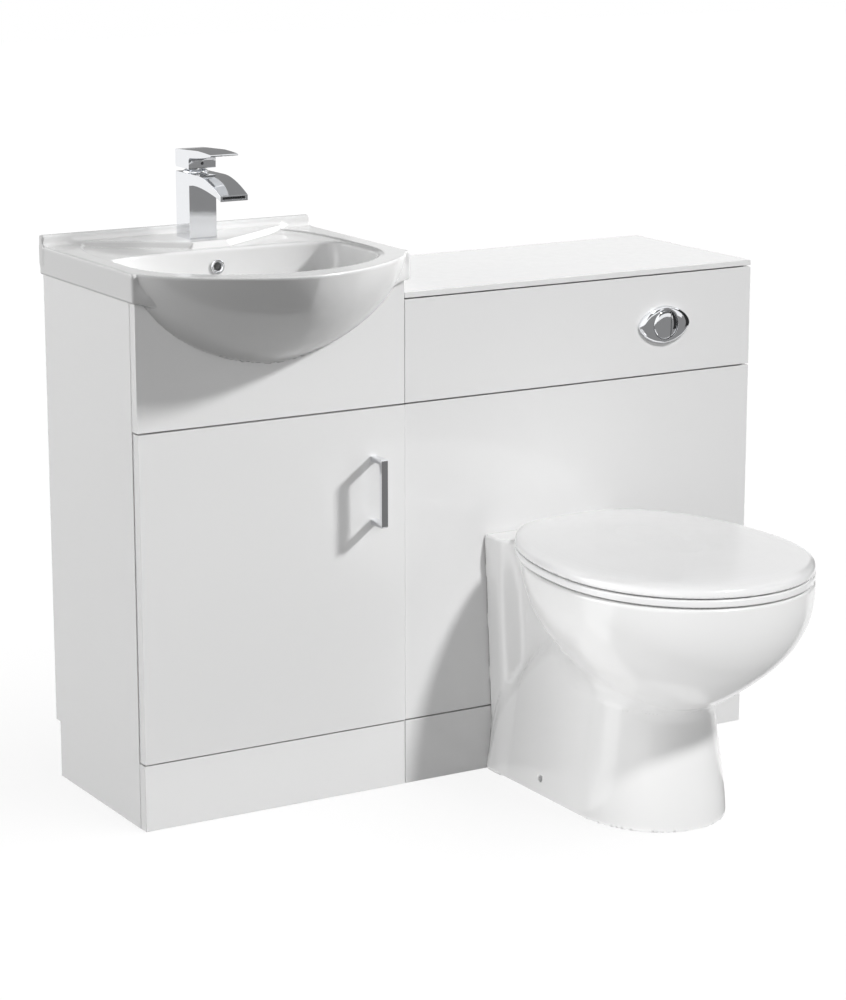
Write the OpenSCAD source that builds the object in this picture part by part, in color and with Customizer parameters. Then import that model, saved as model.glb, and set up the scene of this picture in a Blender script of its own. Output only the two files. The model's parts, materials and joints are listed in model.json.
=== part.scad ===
// Vanity unit with a semi-recessed basin, joined to a toilet unit with a back-to-wall pan.
// Everything is drawn in millimetres. Drawing frame: X to the right from the left side of the
// vanity, Y back from the front boards, Z up from the floor. placed() shifts it to the part's
// own frame, whose origin is the middle of the footprint box, on the floor.

/* [Node] */
// Which sub-part is drawn; "all" draws the whole object

/* [Furniture] */
// Width of the vanity unit
vanity_w = 450; // [400:5:600]
// Width of the toilet unit
wc_w = 650; // [600:5:800]
// Depth of both units, front boards included
unit_d = 325; // [290:5:360]
// Height of the vanity carcass, under the basin
vanity_h = 802; // [760:1:830]
// Height of the toilet unit, worktop included
wc_h = 781; // [740:1:820]
// Thickness of the boards
board_t = 18; // [15:1:19]
// Thickness of the worktop
worktop_t = 9; // [8:1:18]
// Height of the seam between plinth and fronts
plinth_seam = 104; // [90:1:130]
// Height of the seam between lower and upper fronts
mid_seam = 609; // [560:1:650]
// Gap between neighbouring fronts
front_gap = 2.4; // [1.5:0.1:4]
// How far the door stands off the carcass, the thickness of its buffers
door_standoff = 2; // [1.5:0.1:3]

/* [Door] */
// Distance from the door's free edge to the handle
handle_edge = 56; // [30:1:90]
// Distance between the handle's two screws
handle_pitch = 96; // [64:32:160]
// Height of the handle's middle
handle_z = 481; // [400:1:560]
// Width of the handle bar
handle_bar = 11; // [8:0.5:14]
// Thickness of the handle bar
handle_t = 6.5; // [5:0.5:10]
// How far the handle stands out
handle_reach = 34; // [25:1:40]
// Height of a hinge above the door's bottom edge, and below its top
hinge_inset = 92; // [80:1:140]
// Diameter of the hinge cup
cup_d = 35; // [26:1:35]

/* [Basin] */
// Width of the basin slab
basin_w = 464; // [420:5:620]
// Height of the slab's side
slab_t = 41; // [35:1:50]
// How far the bowl stands out in front of the fronts
bowl_reach = 147; // [110:1:180]
// Width of the bowl's opening
bowl_w = 390; // [330:5:420]
// Depth of the bowl's inside below the rim
bowl_depth = 148; // [120:1:165]
// Height of the upstand behind the slab
upstand_h = 20; // [10:1:30]
// Height of the tap platform above the slab
platform_h = 7.5; // [3:0.5:12]

/* [Tap] */
// Width of the tap's column
tap_w = 46; // [40:1:52]
// Height of the tap's column
tap_h = 102; // [80:1:130]
// Reach of the spout from the middle of the column
spout_reach = 129; // [100:1:150]
// Length of the lever from the middle of the column
lever_reach = 99; // [70:1:120]

/* [Flush button] */
// Distance of the button's middle from the right side
button_side = 171; // [120:1:325]
// Drop from the worktop's top to the button's middle
button_drop = 91; // [75:1:130]
// Width of the bezel
bezel_w = 98; // [80:1:110]
// Height of the bezel
bezel_h = 61; // [56:1:75]
// Diameter of the round button
button_d = 46.5; // [40:1:50]
// Travel of a button
button_travel = 5; // [3:0.5:8]

/* [Pan] */
// How far the pan stands out in front of the fronts
pan_reach = 565; // [480:5:600]
// Width of the pan's rim
pan_w = 396; // [350:5:410]
// Height of the pan's rim
pan_h = 386.5; // [380:1:420]
// Distance of the pan's middle from the toilet unit's left side
pan_x = 267; // [230:1:400]
// Thickness of the seat
seat_t = 11.5; // [10:0.5:20]
// Gap under the seat and under the lid
seat_gap = 2; // [1.5:0.1:3]
// Height of the lid at its crown
lid_t = 25; // [18:1:30]
// Distance between the seat's two fixings
seat_pitch = 155; // [140:1:170]
// Height of the outlet's middle
outlet_z = 185; // [180:1:190]
// Height of the flush inlet's middle
inlet_z = 335; // [320:1:345]

/* [Clearances] */
// Gap round a shaft that turns or slides in a bore
run_gap = 0.05; // [0.02:0.01:0.1]
// Gap between faces that pass each other
pass_gap = 0.6; // [0.3:0.1:1.5]

/* [Hidden] */
$fn = 48;
// points round the ceramic outlines
N = 56;
NP = 56;
total_w = vanity_w + wc_w;
basin_over = (basin_w - vanity_w) / 2;
mid_x = (total_w - basin_over) / 2;
mid_y = (unit_d - pan_reach) / 2;
cx_b = vanity_w / 2;
cx_p = vanity_w + pan_x;
cx_f = total_w - button_side;
button_z = wc_h - button_drop;
slab_z = vanity_h;
deck_z = slab_z + slab_t;
rim_z = deck_z + 2;
bt = board_t;
fg = front_gap / 2;
// virtual axis of the cup hinges, and the pivot of their links
hinge_px = 6.66;
hinge_py = bt - 10.43;
link_ax = 21.1;
link_ay = bt - 6.94;
cup_x = 24;
door_z0 = plinth_seam + fg;
door_z1 = mid_seam - fg;
hinge_zs = [door_z0 + hinge_inset, door_z1 - hinge_inset];
door_y1 = bt - door_standoff;
door_y0 = door_y1 - bt;
handle_x = vanity_w - handle_edge;
tap_z = deck_z + platform_h;
tap_y = 250;
tap_top = tap_z + tap_h;
waste_y = 75;
waste_z = rim_z - bowl_depth - 3;
waste_under = waste_z - 18;
fix_y = -155;
fix_z = 26;
seat_z = pan_h + seat_gap;
lid_z = seat_z + seat_t + seat_gap;
hinge_y = -66;
seat_axis_z = seat_z + seat_t + seat_gap / 2;
tank_x0 = cx_p - 125;
tank_x1 = cx_p + 255;
tank_y0 = unit_d - bt - 132;
tank_y1 = unit_d - bt;
tank_z0 = 404;
tank_z1 = 690;
fill_x = tank_x1 - 45;
tank_cy = (tank_y0 + tank_y1) / 2;

vanity_sides();
vanity_floor();
vanity_rails();
vanity_fascia();
vanity_plinth();
cabinet_door();
door_handle();
door_screws();
hinge_cups();
hinge_links();
hinge_arms();
hinge_plates();
hinge_screws();
door_buffers();
wall_brackets();
basin();
overflow_ring();
waste_body();
waste_plug();
waste_seals();
waste_nut();
trap_body();
trap_cup();
trap_nuts();
trap_outlet();
tap_body();
spout_former();
tap_cartridge();
cartridge_nut();
tap_spindle();
tap_lever();
lever_screw();
tap_gasket();
tap_fixings();
wc_sides();
wc_worktop();
wc_panel_upper();
wc_panel_lower();
wc_plinth();
wc_rails();
flush_bezel();
flush_button_full();
flush_button_half();
flush_housing();
cistern_tank();
cistern_lid();
flush_valve();
flush_lifter();
fill_valve();
fill_float();
flush_pipe();
flush_cone();
soil_connector();
pan();
seat_ring();
seat_lid();
seat_hinges();
seat_buffers();
lid_buffers();
pan_fixings();

// ---------- shared shapes ----------

module placed() translate([-mid_x, -mid_y, 0]) children();

// box from its low corner to its high corner
module bx(a, b) translate(a) cube([b[0] - a[0], b[1] - a[1], b[2] - a[2]]);

// cylinder along Y or X from a point
module cyl_y(p, r, l) translate(p) rotate([-90, 0, 0]) cylinder(r = r, h = l);
module cyl_x(p, r, l) translate(p) rotate([0, 90, 0]) cylinder(r = r, h = l);
module cyl_z(p, r, l) translate(p) cylinder(r = r, h = l);

// round bar between two points
module rod(a, b, r) {
  v = b - a;
  l = norm(v);
  translate(a) rotate([0, acos(v[2] / l), atan2(v[1], v[0])]) cylinder(r = r, h = l);
}

// solid through level rings of equal count, from the lowest to the highest
module loft(rings) {
  n = len(rings[0]);
  m = len(rings);
  polyhedron(
    points = [for (r = rings) each r],
    faces = concat(
      [[for (i = [0:n - 1]) i]],
      [for (j = [0:m - 2]) for (i = [0:n - 1]) let (k = (i + 1) % n, a = j * n)
        each [[a + i, a + n + i, a + n + k], [a + i, a + n + k, a + k]]],
      [[for (i = [n - 1:-1:0]) (m - 1) * n + i]]));
}

function se(t, n) = sign(t) * pow(abs(t), 2 / n);

// level outline with its own front and back: half-width a, reach bf to the front and bb to the
// back of (cx, cy), and roundness nf and nb
function oval(cx, cy, a, bf, bb, nf, nb, z, n) = [for (i = [0:n - 1])
  let (g = 360 * (i + 0.5) / n, s = sin(g), b = s < 0 ? bf : bb, e = s < 0 ? nf : nb)
  [cx + a * se(cos(g), e), cy + b * se(s, e), z]];

// share of the full size left at depth d of a bowl of depth h
function dome(d, h, q) = pow(max(0, 1 - pow(min(1, d / h), q)), 1 / q);

// rounded rectangle, k points a corner
function rrect(x0, x1, y0, y1, r, z, k = 8) = [for (q = [0:3]) for (i = [0:k])
  let (g = 90 * q + 90 * i / k,
    x = (q == 0 || q == 3) ? x1 - r : x0 + r, y = q < 2 ? y1 - r : y0 + r)
  [x + r * cos(g), y + r * sin(g), z]];

// hexagon nut along Z
module hexnut(p, af, h, r) translate(p) difference() {
  cylinder(r = af / sqrt(3), h = h, $fn = 6);
  translate([0, 0, -1]) cylinder(r = r, h = h + 2);
}

// ---------- vanity carcass ----------

module carcass_side(x, h) difference() {
  bx([x, bt, 0], [x + bt, unit_d, h]);
  // rebate for the skirting at the back
  bx([x - 1, unit_d - 15, -1], [x + bt + 1, unit_d + 1, 90]);
}

module vanity_sides() placed() color("white") difference() {
  union() {
    carcass_side(0, vanity_h);
    carcass_side(vanity_w - bt, vanity_h);
  }
  // holes for the hinge arms' screws
  for (z = hinge_zs, s = [-16, 16]) cyl_x([bt - 11, bt + 37, z + s], 1.6, 12);
}

module vanity_floor() placed() color("white")
  bx([bt, bt, plinth_seam - 9], [vanity_w - bt, unit_d - 20, plinth_seam - 9 + bt]);

module vanity_rails() placed() color("white") {
  // front rail behind the seam over the door
  bx([bt, bt, mid_seam - 18], [vanity_w - bt, 2 * bt, mid_seam + 30]);
  difference() {
    // upper rail, screwed to the wall
    bx([bt, unit_d - bt, vanity_h - 92], [vanity_w - bt, unit_d, vanity_h - 2]);
    for (x = [75, vanity_w - 75]) cyl_y([x, unit_d - bt - 1, vanity_h - 55], 4, bt + 2);
  }
  bx([bt, unit_d - 20 - bt, plinth_seam + 9], [vanity_w - bt, unit_d - 20, plinth_seam + 79]);
  // plinth rail under the floor board
  bx([bt, bt, 30], [vanity_w - bt, 2 * bt, plinth_seam - 9]);
}

module vanity_fascia() placed() color("white") difference() {
  bx([fg / 2, 0, mid_seam + fg], [vanity_w - fg / 2, bt, vanity_h - 0.4]);
  bowl_outer(pass_gap);
}

module vanity_plinth() placed() color("white")
  bx([fg / 2, 0, 0], [vanity_w - fg / 2, bt, plinth_seam - fg]);

module cabinet_door() placed() color("white") difference() {
  bx([fg, door_y0, door_z0], [vanity_w - fg, door_y1, door_z1]);
  for (z = hinge_zs) {
    cyl_y([cup_x, door_y1 - 11.6, z], cup_d / 2, 13);
    for (s = [-22.5, 22.5]) cyl_y([cup_x + 9.5, door_y1 - 11, z + s], 1.5, 13);
  }
  for (s = [-0.5, 0.5])
    cyl_y([handle_x, door_y0 - 1, handle_z + s * handle_pitch], 2.25, bt + 2);
}

// ---------- door furniture ----------

module door_handle() placed() color("silver") {
  h = handle_pitch / 2;
  w = handle_bar / 2;
  y0 = door_y0 - handle_reach;
  difference() {
    // flat bar with two legs
    rotate([90, 0, 90]) translate([0, 0, handle_x - w]) linear_extrude(2 * w) polygon([
      [door_y0, handle_z - h - w], [y0 + 2, handle_z - h - w], [y0, handle_z - h - w + 2],
      [y0, handle_z + h + w - 2], [y0 + 2, handle_z + h + w], [door_y0, handle_z + h + w],
      [door_y0, handle_z + h - w + 3], [y0 + handle_t, handle_z + h - w + 3],
      [y0 + handle_t, handle_z - h + w - 3], [door_y0, handle_z - h + w - 3]]);
    for (s = [-1, 1]) cyl_y([handle_x, door_y0 - 14, handle_z + s * h], 2.05, 15);
  }
}

// screws that ride on the door: through the board into the handle, and in the hinge cups
module door_screws() placed() color("gray") {
  for (s = [-0.5, 0.5]) let (z = handle_z + s * handle_pitch) difference() {
    union() {
      cyl_y([handle_x, door_y0 - 10, z], 2, bt + 10);
      cyl_y([handle_x, door_y1, z], 4, 1.6);
    }
    // cross recess
    bx([handle_x - 2.2, door_y1 + 0.6, z - 0.5], [handle_x + 2.2, door_y1 + 2, z + 0.5]);
    bx([handle_x - 0.5, door_y1 + 0.6, z - 2.2], [handle_x + 0.5, door_y1 + 2, z + 2.2]);
  }
  for (c = hinge_zs, s = [-22.5, 22.5]) let (z = c + s) difference() {
    union() {
      cyl_y([cup_x + 9.5, door_y1 - 9, z], 1.45, 10.3);
      cyl_y([cup_x + 9.5, door_y1 + 1.25, z], 3.6, 1);
    }
    bx([cup_x + 7.5, door_y1 + 1.6, z - 0.5], [cup_x + 11.5, door_y1 + 3, z + 0.5]);
  }
}

module hinge_cups() placed() color("silver") for (z = hinge_zs) {
  difference() {
    union() {
      cyl_y([cup_x, door_y1 - 11.5, z], cup_d / 2 - 0.05, 11.5);
      // flange on the back of the door
      bx([cup_x - 3, door_y1, z - 28], [cup_x + 17.5, door_y1 + 1.2, z + 28]);
      cyl_y([cup_x, door_y1, z], cup_d / 2 + 0.9, 1.2);
    }
    cyl_y([cup_x, door_y1 - 10.2, z], cup_d / 2 - 1.3, 20);
    // keep the flange off the side panel's edge
    bx([-20, door_y1 + 0.01, z - 30], [bt - 10.5, door_y1 + 3, z + 30]);
    for (s = [-22.5, 22.5]) cyl_y([cup_x + 9.5, door_y1 - 1, z + s], 2.1, 5);
  }
}

// link of a cup hinge: pivots on the arm, its other end floats in the cup
module hinge_links() placed() color("silver") for (z = hinge_zs) {
  difference() {
    translate([0, 0, z - 6]) linear_extrude(12) difference() {
      union() {
        translate([link_ax, link_ay]) circle(r = 3);
        link_bar([link_ax, link_ay], [29.9, bt + 0.45], 1.1);
        link_bar([29.9, bt + 0.45], [35.6, bt - 5.4], 1.1);
        translate([29.9, bt + 0.45]) circle(r = 1.1);
        translate([35.6, bt - 5.4]) circle(r = 2.2);
      }
      translate([link_ax, link_ay]) circle(r = 1.5 + run_gap);
      translate([35.6, bt - 5.4]) circle(r = 1.2);
    }
  }
}

module link_bar(a, b, w) {
  v = b - a;
  translate(a) rotate(atan2(v[1], v[0])) translate([0, -w]) square([norm(v), 2 * w]);
}

// arm: two cheeks, a web and the link's pin
module hinge_arms() placed() color("silver") for (z = hinge_zs) difference() {
  union() {
    for (s = [-1, 1]) translate([0, 0, z + s * 7.6 - 1]) linear_extrude(2) {
      translate([link_ax, link_ay]) circle(r = 2.8);
      polygon([[18.5, link_ay], [link_ax + 2.6, link_ay + 1], [24.5, bt + 12],
        [31, bt + 20], [31, bt + 62], [22.55, bt + 62], [22.55, bt + 14], [18.5, bt + 4]]);
    }
    bx([29.2, bt + 22, z - 8.6], [31, bt + 62, z + 8.6]);
    cyl_z([link_ax, link_ay, z - 8.6], 1.5, 17.2);
  }
  // slots for the adjusting screws
  for (y = [bt + 32, bt + 52]) cyl_x([25, y, z], 2.6, 15);
}

// mounting plates on the side panel
module hinge_plates() placed() color("silver") for (z = hinge_zs) difference() {
  union() {
    bx([bt, bt + 22, z - 6], [22.5, bt + 66, z + 6]);
    bx([22, bt + 24, z - 3], [24.4, bt + 60, z + 3]);
    bx([bt, bt + 31, z - 24], [bt + 2, bt + 43, z + 24]);
  }
  for (s = [-16, 16]) cyl_x([bt - 1, bt + 37, z + s], 2.1, 6);
  for (y = [bt + 32, bt + 52]) cyl_x([bt - 1, y, z], 1.8, 12);
}

// screws of the plates and the adjusting screws of the arms
module hinge_screws() placed() color("gray") for (z = hinge_zs) {
  for (s = [-16, 16]) difference() {
    union() {
      cyl_x([bt - 10.5, bt + 37, z + s], 1.55, 12.6);
      cyl_x([bt + 2.05, bt + 37, z + s], 3.6, 1.4);
    }
    bx([bt + 2.6, bt + 34.5, z + s - 0.5], [bt + 5, bt + 39.5, z + s + 0.5]);
  }
  for (y = [bt + 32, bt + 52]) difference() {
    union() {
      cyl_x([bt + 0.5, y, z], 1.75, 13);
      cyl_x([31.05, y, z], 3.4, 1.6);
    }
    bx([32, y - 3, z - 0.5], [34, y + 3, z + 0.5]);
  }
}

module door_buffers() placed() color("lightgray") for (z = [door_z0 + 22, door_z1 - 10])
  cyl_y([vanity_w - bt / 2, door_y1, z], 4, door_standoff - 0.05);

module wall_brackets() placed() color("silver") for (q = [
    [bt, 1, vanity_h - 130], [vanity_w - bt, -1, vanity_h - 130],
    [vanity_w + bt, 1, wc_h - 60], [total_w - bt, -1, wc_h - 60]]) difference() {
  union() {
    bx([min(q[0], q[0] + q[1] * 2), unit_d - 32, q[2]],
       [max(q[0], q[0] + q[1] * 2), unit_d, q[2] + 32]);
    bx([min(q[0], q[0] + q[1] * 32), unit_d - 2, q[2]],
       [max(q[0], q[0] + q[1] * 32), unit_d, q[2] + 32]);
  }
  cyl_y([q[0] + q[1] * 19, unit_d - 5, q[2] + 16], 3, 8);
  cyl_x([q[0] - 5, unit_d - 17, q[2] + 16], 2.2, 10);
}

// ---------- basin ----------

bowl_cy = 20;
bowl_h = rim_z - waste_under - 4;
bowl_ds = [0.4, 5, 14, 30, 52, 76, 98, 117, 133, 146, 156, bowl_h - 0.6];

// outside of the bowl, wide in front of the fronts and narrow inside the cabinet
module bowl_outer(g = 0) {
  intersection() {
    bowl_shell(basin_w / 2, g);
    bx([-basin_over - g, -400, 0], [vanity_w + basin_over + g, bt - pass_gap + g, 900]);
  }
  if (g == 0) intersection() {
    bowl_shell(vanity_w / 2 - bt - 3, 0);
    bx([-50, bt - pass_gap - 1, 0], [600, 400, 900]);
  }
}

module bowl_shell(a, g) loft([for (i = [len(bowl_ds) - 1:-1:0])
  let (d = bowl_ds[i], k = dome(d - 1, bowl_h, 2) - (d < 5 ? 0.016 : 0))
  oval(cx_b, bowl_cy + 0.35 * d, a * k + g, (bowl_reach + bowl_cy) * k + g, 190 * k + g,
    1.6, 5 - 2.6 * d / bowl_h, rim_z - d - (i == len(bowl_ds) - 1 ? g : 0), N)]);

bowl_is = [-1.2, 0, 0.8, 2.4, 5, 14, 32, 56, 82, 106, 126, 140, bowl_depth - 0.6];

module bowl_inner() loft([for (i = [len(bowl_is) - 1:-1:0])
  let (d = bowl_is[i], k = dome(max(d - 5, 0), bowl_depth - 4.6, 2.1),
    f = d < 0 ? 6 : d < 0.5 ? 5 : d < 1 ? 3 : d < 3 ? 1.2 : d < 6 ? 0.2 : 0)
  oval(cx_b, 70 + 0.03 * max(d, 0), bowl_w / 2 * k + f, 170 * k + f, 112 * k + f,
    2.05, 5 - 2.4 * max(d, 0) / bowl_depth, rim_z - d, N)]);

// shallow tray in the deck
module tray(x) {
  f = function (k, z) oval(x, 252, 52 * k, 40 * k, 40 * k, 3, 3, z, 28);
  loft([f(0.78, deck_z - 4), f(0.86, deck_z - 3.4), f(0.95, deck_z - 1.2), f(1.03, deck_z + 0.4),
    f(1.04, deck_z + 3)]);
}

module basin() placed() color("white") difference() {
  union() {
    difference() {
      // slab with rounded edges
      union() {
        loft([
          rrect(-basin_over + 1, vanity_w + basin_over - 1, -7, unit_d, 5, slab_z),
          rrect(-basin_over, vanity_w + basin_over, -8, unit_d, 6, slab_z + 1.5),
          rrect(-basin_over, vanity_w + basin_over, -8, unit_d, 6, deck_z - 5),
          rrect(-basin_over + 1.2, vanity_w + basin_over - 1.2, -6.8, unit_d, 6, deck_z - 1.6),
          rrect(-basin_over + 4.5, vanity_w + basin_over - 4.5, -3.5, unit_d, 6, deck_z)]);
        // upstand along the wall
        loft([
          rrect(-basin_over + 1.2, vanity_w + basin_over - 1.2, unit_d - 20, unit_d, 2, deck_z - 2),
          rrect(-basin_over + 1.2, vanity_w + basin_over - 1.2, unit_d - 15, unit_d, 2, deck_z + 4),
          rrect(-basin_over + 1.2, vanity_w + basin_over - 1.2, unit_d - 13, unit_d, 2,
            deck_z + upstand_h - 3),
          rrect(-basin_over + 3, vanity_w + basin_over - 3, unit_d - 11, unit_d - 0.8, 2,
            deck_z + upstand_h)]);
        // platform under the tap
        loft([
          rrect(cx_b - 92, cx_b + 92, 200, unit_d - 8, 12, deck_z - 1),
          rrect(cx_b - 84, cx_b + 84, 204, unit_d - 8, 12, deck_z + platform_h * 0.5),
          rrect(cx_b - 74, cx_b + 74, 208, unit_d - 8, 12, deck_z + platform_h - 0.8),
          rrect(cx_b - 70, cx_b + 70, 210, unit_d - 8, 12, deck_z + platform_h)]);
      }
      // hollow under the slab
      bx([7, 8, slab_z - 1], [vanity_w - 7, unit_d - 12, slab_z + slab_t - 12]);
    }
    bowl_outer();
    // flat seat under the waste, and a boss under the tap
    cyl_z([cx_b, waste_y, waste_under], 38, 20);
    cyl_z([cx_b, tap_y, deck_z - 18], 36, 14);
  }
  bowl_inner();
  tray(84);
  tray(vanity_w - 84);
  // tap hole
  cyl_z([cx_b, tap_y, deck_z - 40], 17.5, 80);
  // waste hole and its seat
  cyl_z([cx_b, waste_y, waste_under - 5], 23, 60);
  cyl_z([cx_b, waste_y, waste_z], 33, 12);
  // overflow passage in the back of the bowl
  overflow_path();
}

function overflow_points() = [[cx_b, 196, rim_z - 31], [cx_b, 180, rim_z - 104],
  [cx_b, 152, waste_z + 17], [cx_b, 118, waste_z + 1.5], [cx_b, 92, waste_z - 6]];

module overflow_path() {
  p = overflow_points();
  rod([cx_b, 160, rim_z - 31], p[0], 8.5);
  for (i = [0:len(p) - 2]) {
    u = (p[i + 1] - p[i]) / norm(p[i + 1] - p[i]);
    rod(p[i] - u * 1.8, p[i + 1] + u * 1.8, 5.5);
  }
}

module overflow_ring() placed() color("silver") translate([cx_b, 180.5, rim_z - 31])
  rotate([-95.5, 0, 0]) rotate_extrude() polygon([[7.6, 7], [7.6, 0], [11.2, 0], [11.2, -1.4],
    [10, -2.2], [8.2, -2.2], [6.4, -1.2], [6.4, 7]]);

module waste_body() placed() color("silver") difference() {
  union() {
    cyl_z([cx_b, waste_y, waste_z], 31.5, 2.6);
    cyl_z([cx_b, waste_y, waste_under - 44], 20.9, 48 + waste_z - waste_under - 4);
  }
  translate([cx_b, waste_y, waste_z]) difference() {
    union() {
      translate([0, 0, -100]) cylinder(r = 17, h = 120);
      translate([0, 0, 0.8]) cylinder(r1 = 17, r2 = 29, h = 2);
    }
    // cross with the plug's guide
    for (g = [0, 90]) rotate(g) translate([-18, -1.5, -22]) cube([36, 3, 6]);
    translate([0, 0, -30]) cylinder(r = 6, h = 16);
  }
  cyl_z([cx_b, waste_y, waste_z - 40], 4 + run_gap, 60);
  // overflow slots
  for (g = [45, 135]) translate([cx_b, waste_y, waste_z - 14]) rotate([0, 0, g])
    translate([-30, -6, 0]) cube([60, 12, 8]);
}

module waste_plug() placed() color("silver") translate([cx_b, waste_y, 0]) {
  translate([0, 0, waste_z + 2.9]) rotate_extrude() polygon([[0, 0], [30, 0], [31.5, 1.2],
    [31.2, 2.6], [29, 4.2], [22, 5.2], [10, 5.9], [0, 6.1]]);
  translate([0, 0, waste_z - 36]) cylinder(r = 4, h = 39.5);
}

module waste_seals() placed() color("dimgray") {
  translate([cx_b, waste_y, waste_under - 3]) difference() {
    cylinder(r = 33, h = 3);
    translate([0, 0, -1]) cylinder(r = 21, h = 5);
  }
}

module waste_nut() placed() color("silver") {
  hexnut([cx_b, waste_y, waste_under - 13], 56, 8, 20.95);
  translate([cx_b, waste_y, waste_under - 5]) difference() {
    cylinder(r = 32, h = 2);
    translate([0, 0, -1]) cylinder(r = 20.95, h = 4);
  }
}

trap_top = waste_under - 38;
trap_bot = trap_top - 104;
trap_out_z = trap_top - 46;

module trap_body() placed() color("silver") {
  difference() {
    union() {
      cyl_z([cx_b, waste_y, trap_top - 74], 31, 56);
      cyl_z([cx_b, waste_y, trap_top - 18], 19, 12);
      cyl_y([cx_b, waste_y, trap_out_z], 19, 46);
    }
    cyl_z([cx_b, waste_y, trap_top - 75], 28.5, 54);
    cyl_z([cx_b, waste_y, trap_top - 30], 16.4, 40);
    cyl_y([cx_b, waste_y, trap_out_z], 16.4, 60);
  }
  // dip tube, held by the neck
  difference() {
    cyl_z([cx_b, waste_y, trap_top - 90], 16.4, 84);
    cyl_z([cx_b, waste_y, trap_top - 91], 14.6, 90);
    }
}

module trap_cup() placed() color("silver") difference() {
  union() {
    cyl_z([cx_b, waste_y, trap_bot], 31, 30);
    translate([cx_b, waste_y, trap_bot + 6]) for (g = [0:30:330])
      rotate(g) translate([31, 0, 0]) cylinder(r = 1.6, h = 22, $fn = 24);
  }
  cyl_z([cx_b, waste_y, trap_bot + 3], 28.5, 40);
}

module trap_nuts() placed() color("silver") {
  // inlet nut, round the waste tail and the neck
  difference() {
    cyl_z([cx_b, waste_y, trap_top - 14], 26, 22);
    cyl_z([cx_b, waste_y, trap_top - 15], 19.1, 10);
    cyl_z([cx_b, waste_y, trap_top - 6], 21, 20);
    for (g = [0:45:315]) translate([cx_b, waste_y, trap_top - 15]) rotate(g)
      translate([26.6, 0, 0]) cylinder(r = 2, h = 30, $fn = 24);
  }
  // outlet nut
  difference() {
    cyl_y([cx_b, waste_y + 32.4, trap_out_z], 24, 24);
    cyl_y([cx_b, waste_y + 30, trap_out_z], 19.1, 16.1);
    cyl_y([cx_b, waste_y + 40, trap_out_z], 15.3, 20);
    for (g = [0:45:315]) translate([cx_b, waste_y + 31, trap_out_z]) rotate([-90, 0, 0])
      rotate(g) translate([24.6, 0, 0]) cylinder(r = 2, h = 30, $fn = 24);
  }
}

module trap_outlet() placed() color("silver") difference() {
  union() {
    // end held in the nut, then the length that a pipe fitting slides on
    cyl_y([cx_b, waste_y + 34, trap_out_z], 15.2, 30);
    cyl_y([cx_b, waste_y + 57, trap_out_z], 16, unit_d - waste_y - 57);
  }
  cyl_y([cx_b, waste_y + 30, trap_out_z], 14.2, unit_d);
}

// ---------- tap ----------

ty0 = tap_y - tap_w / 2;
ty1 = tap_y + tap_w / 2;

// side view of column and spout
module tap_profile() polygon(concat(
  [[ty1, tap_z], [ty1, tap_top - 1], [ty1 - 1, tap_top], [tap_y - 55, tap_top]],
  [for (i = [1:7]) let (t = i / 7) [tap_y - 55 - t * (spout_reach - 55), tap_top - 23 * pow(t, 1.7)]],
  [[tap_y - spout_reach, tap_top - 31.5]],
  [for (i = [0:7]) let (t = i / 7) [tap_y - spout_reach + 10 + t * (spout_reach - tap_w / 2 - 10),
    tap_top - 27.5 + 11.5 * sin(t * 100) - 2.2 * pow(t, 8)]],
  [[ty0, tap_z]]));

// the water's way through the spout
module spout_way() polygon(concat(
  [for (i = [0:7]) let (t = i / 7) [tap_y - spout_reach - 1 + t * (spout_reach - 8),
    tap_top - 29 + 19.5 * sin(min(90, t * 105))]],
  [for (i = [7:-1:0]) let (t = i / 7) [tap_y - spout_reach - 1 + t * (spout_reach - 8),
    tap_top - 24.8 + 19.5 * sin(min(90, t * 105))]]));

module yz(x0, x1) translate([x0, 0, 0]) rotate([90, 0, 90]) linear_extrude(x1 - x0) children();

module tap_body() placed() color("silver") difference() {
  yz(cx_b - tap_w / 2, cx_b + tap_w / 2) tap_profile();
  yz(cx_b - tap_w / 2 + 4, cx_b + tap_w / 2 - 4) spout_way();
  // chamber of the cartridge
  cyl_z([cx_b, tap_y, tap_top - 46], 17.6, 60);
  cyl_z([cx_b, tap_y, tap_top - 6], 19.6, 20);
  // supply ways and the fixing stud's hole
  for (s = [-9, 9]) cyl_z([cx_b + s, tap_y - 6, tap_z - 1], 5, tap_h - 40);
  cyl_z([cx_b, tap_y + 11, tap_z - 1], 4, 20);
  // groove of the gasket
  translate([cx_b, tap_y, tap_z - 1]) difference() {
    cylinder(r = 21, h = 2.5);
    translate([0, 0, -1]) cylinder(r = 18.4, h = 6);
  }
}

module spout_former() placed() color("black") difference() {
  intersection() {
    yz(cx_b - tap_w / 2 + 4, cx_b + tap_w / 2 - 4) spout_way();
    bx([0, tap_y - spout_reach + 2, 0], [500, tap_y - spout_reach + 14, 2000]);
  }
  for (i = [-4:4]) bx([cx_b + i * 4 - 1.2, 0, tap_top - 27.6], [cx_b + i * 4 + 1.2, 400, tap_top - 23.9]);
}

module tap_cartridge() placed() color("ivory") {
  difference() {
    union() {
      cyl_z([cx_b, tap_y, tap_top - 46], 17.5, 38);
      cyl_z([cx_b, tap_y, tap_top - 8], 14.5, 7);
    }
    cyl_z([cx_b, tap_y, tap_top - 6], 9.6, 10);
    for (s = [-9, 9]) cyl_z([cx_b + s, tap_y - 6, tap_top - 47], 3.6, 8);
    // way to the spout
    bx([cx_b - 8, ty0 + 3, tap_top - 18], [cx_b + 8, tap_y - 8, tap_top - 12]);
  }
}

// domed nut that holds the cartridge
module cartridge_nut() placed() color("silver") translate([cx_b, tap_y, tap_top])
  rotate_extrude() polygon([[14.6, -6], [19.5, -6], [19.5, 0.6], [18.4, 2.4], [15.8, 3.9],
    [12.6, 4.8], [10, 5], [10, 1], [14.6, -1]]);

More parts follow.
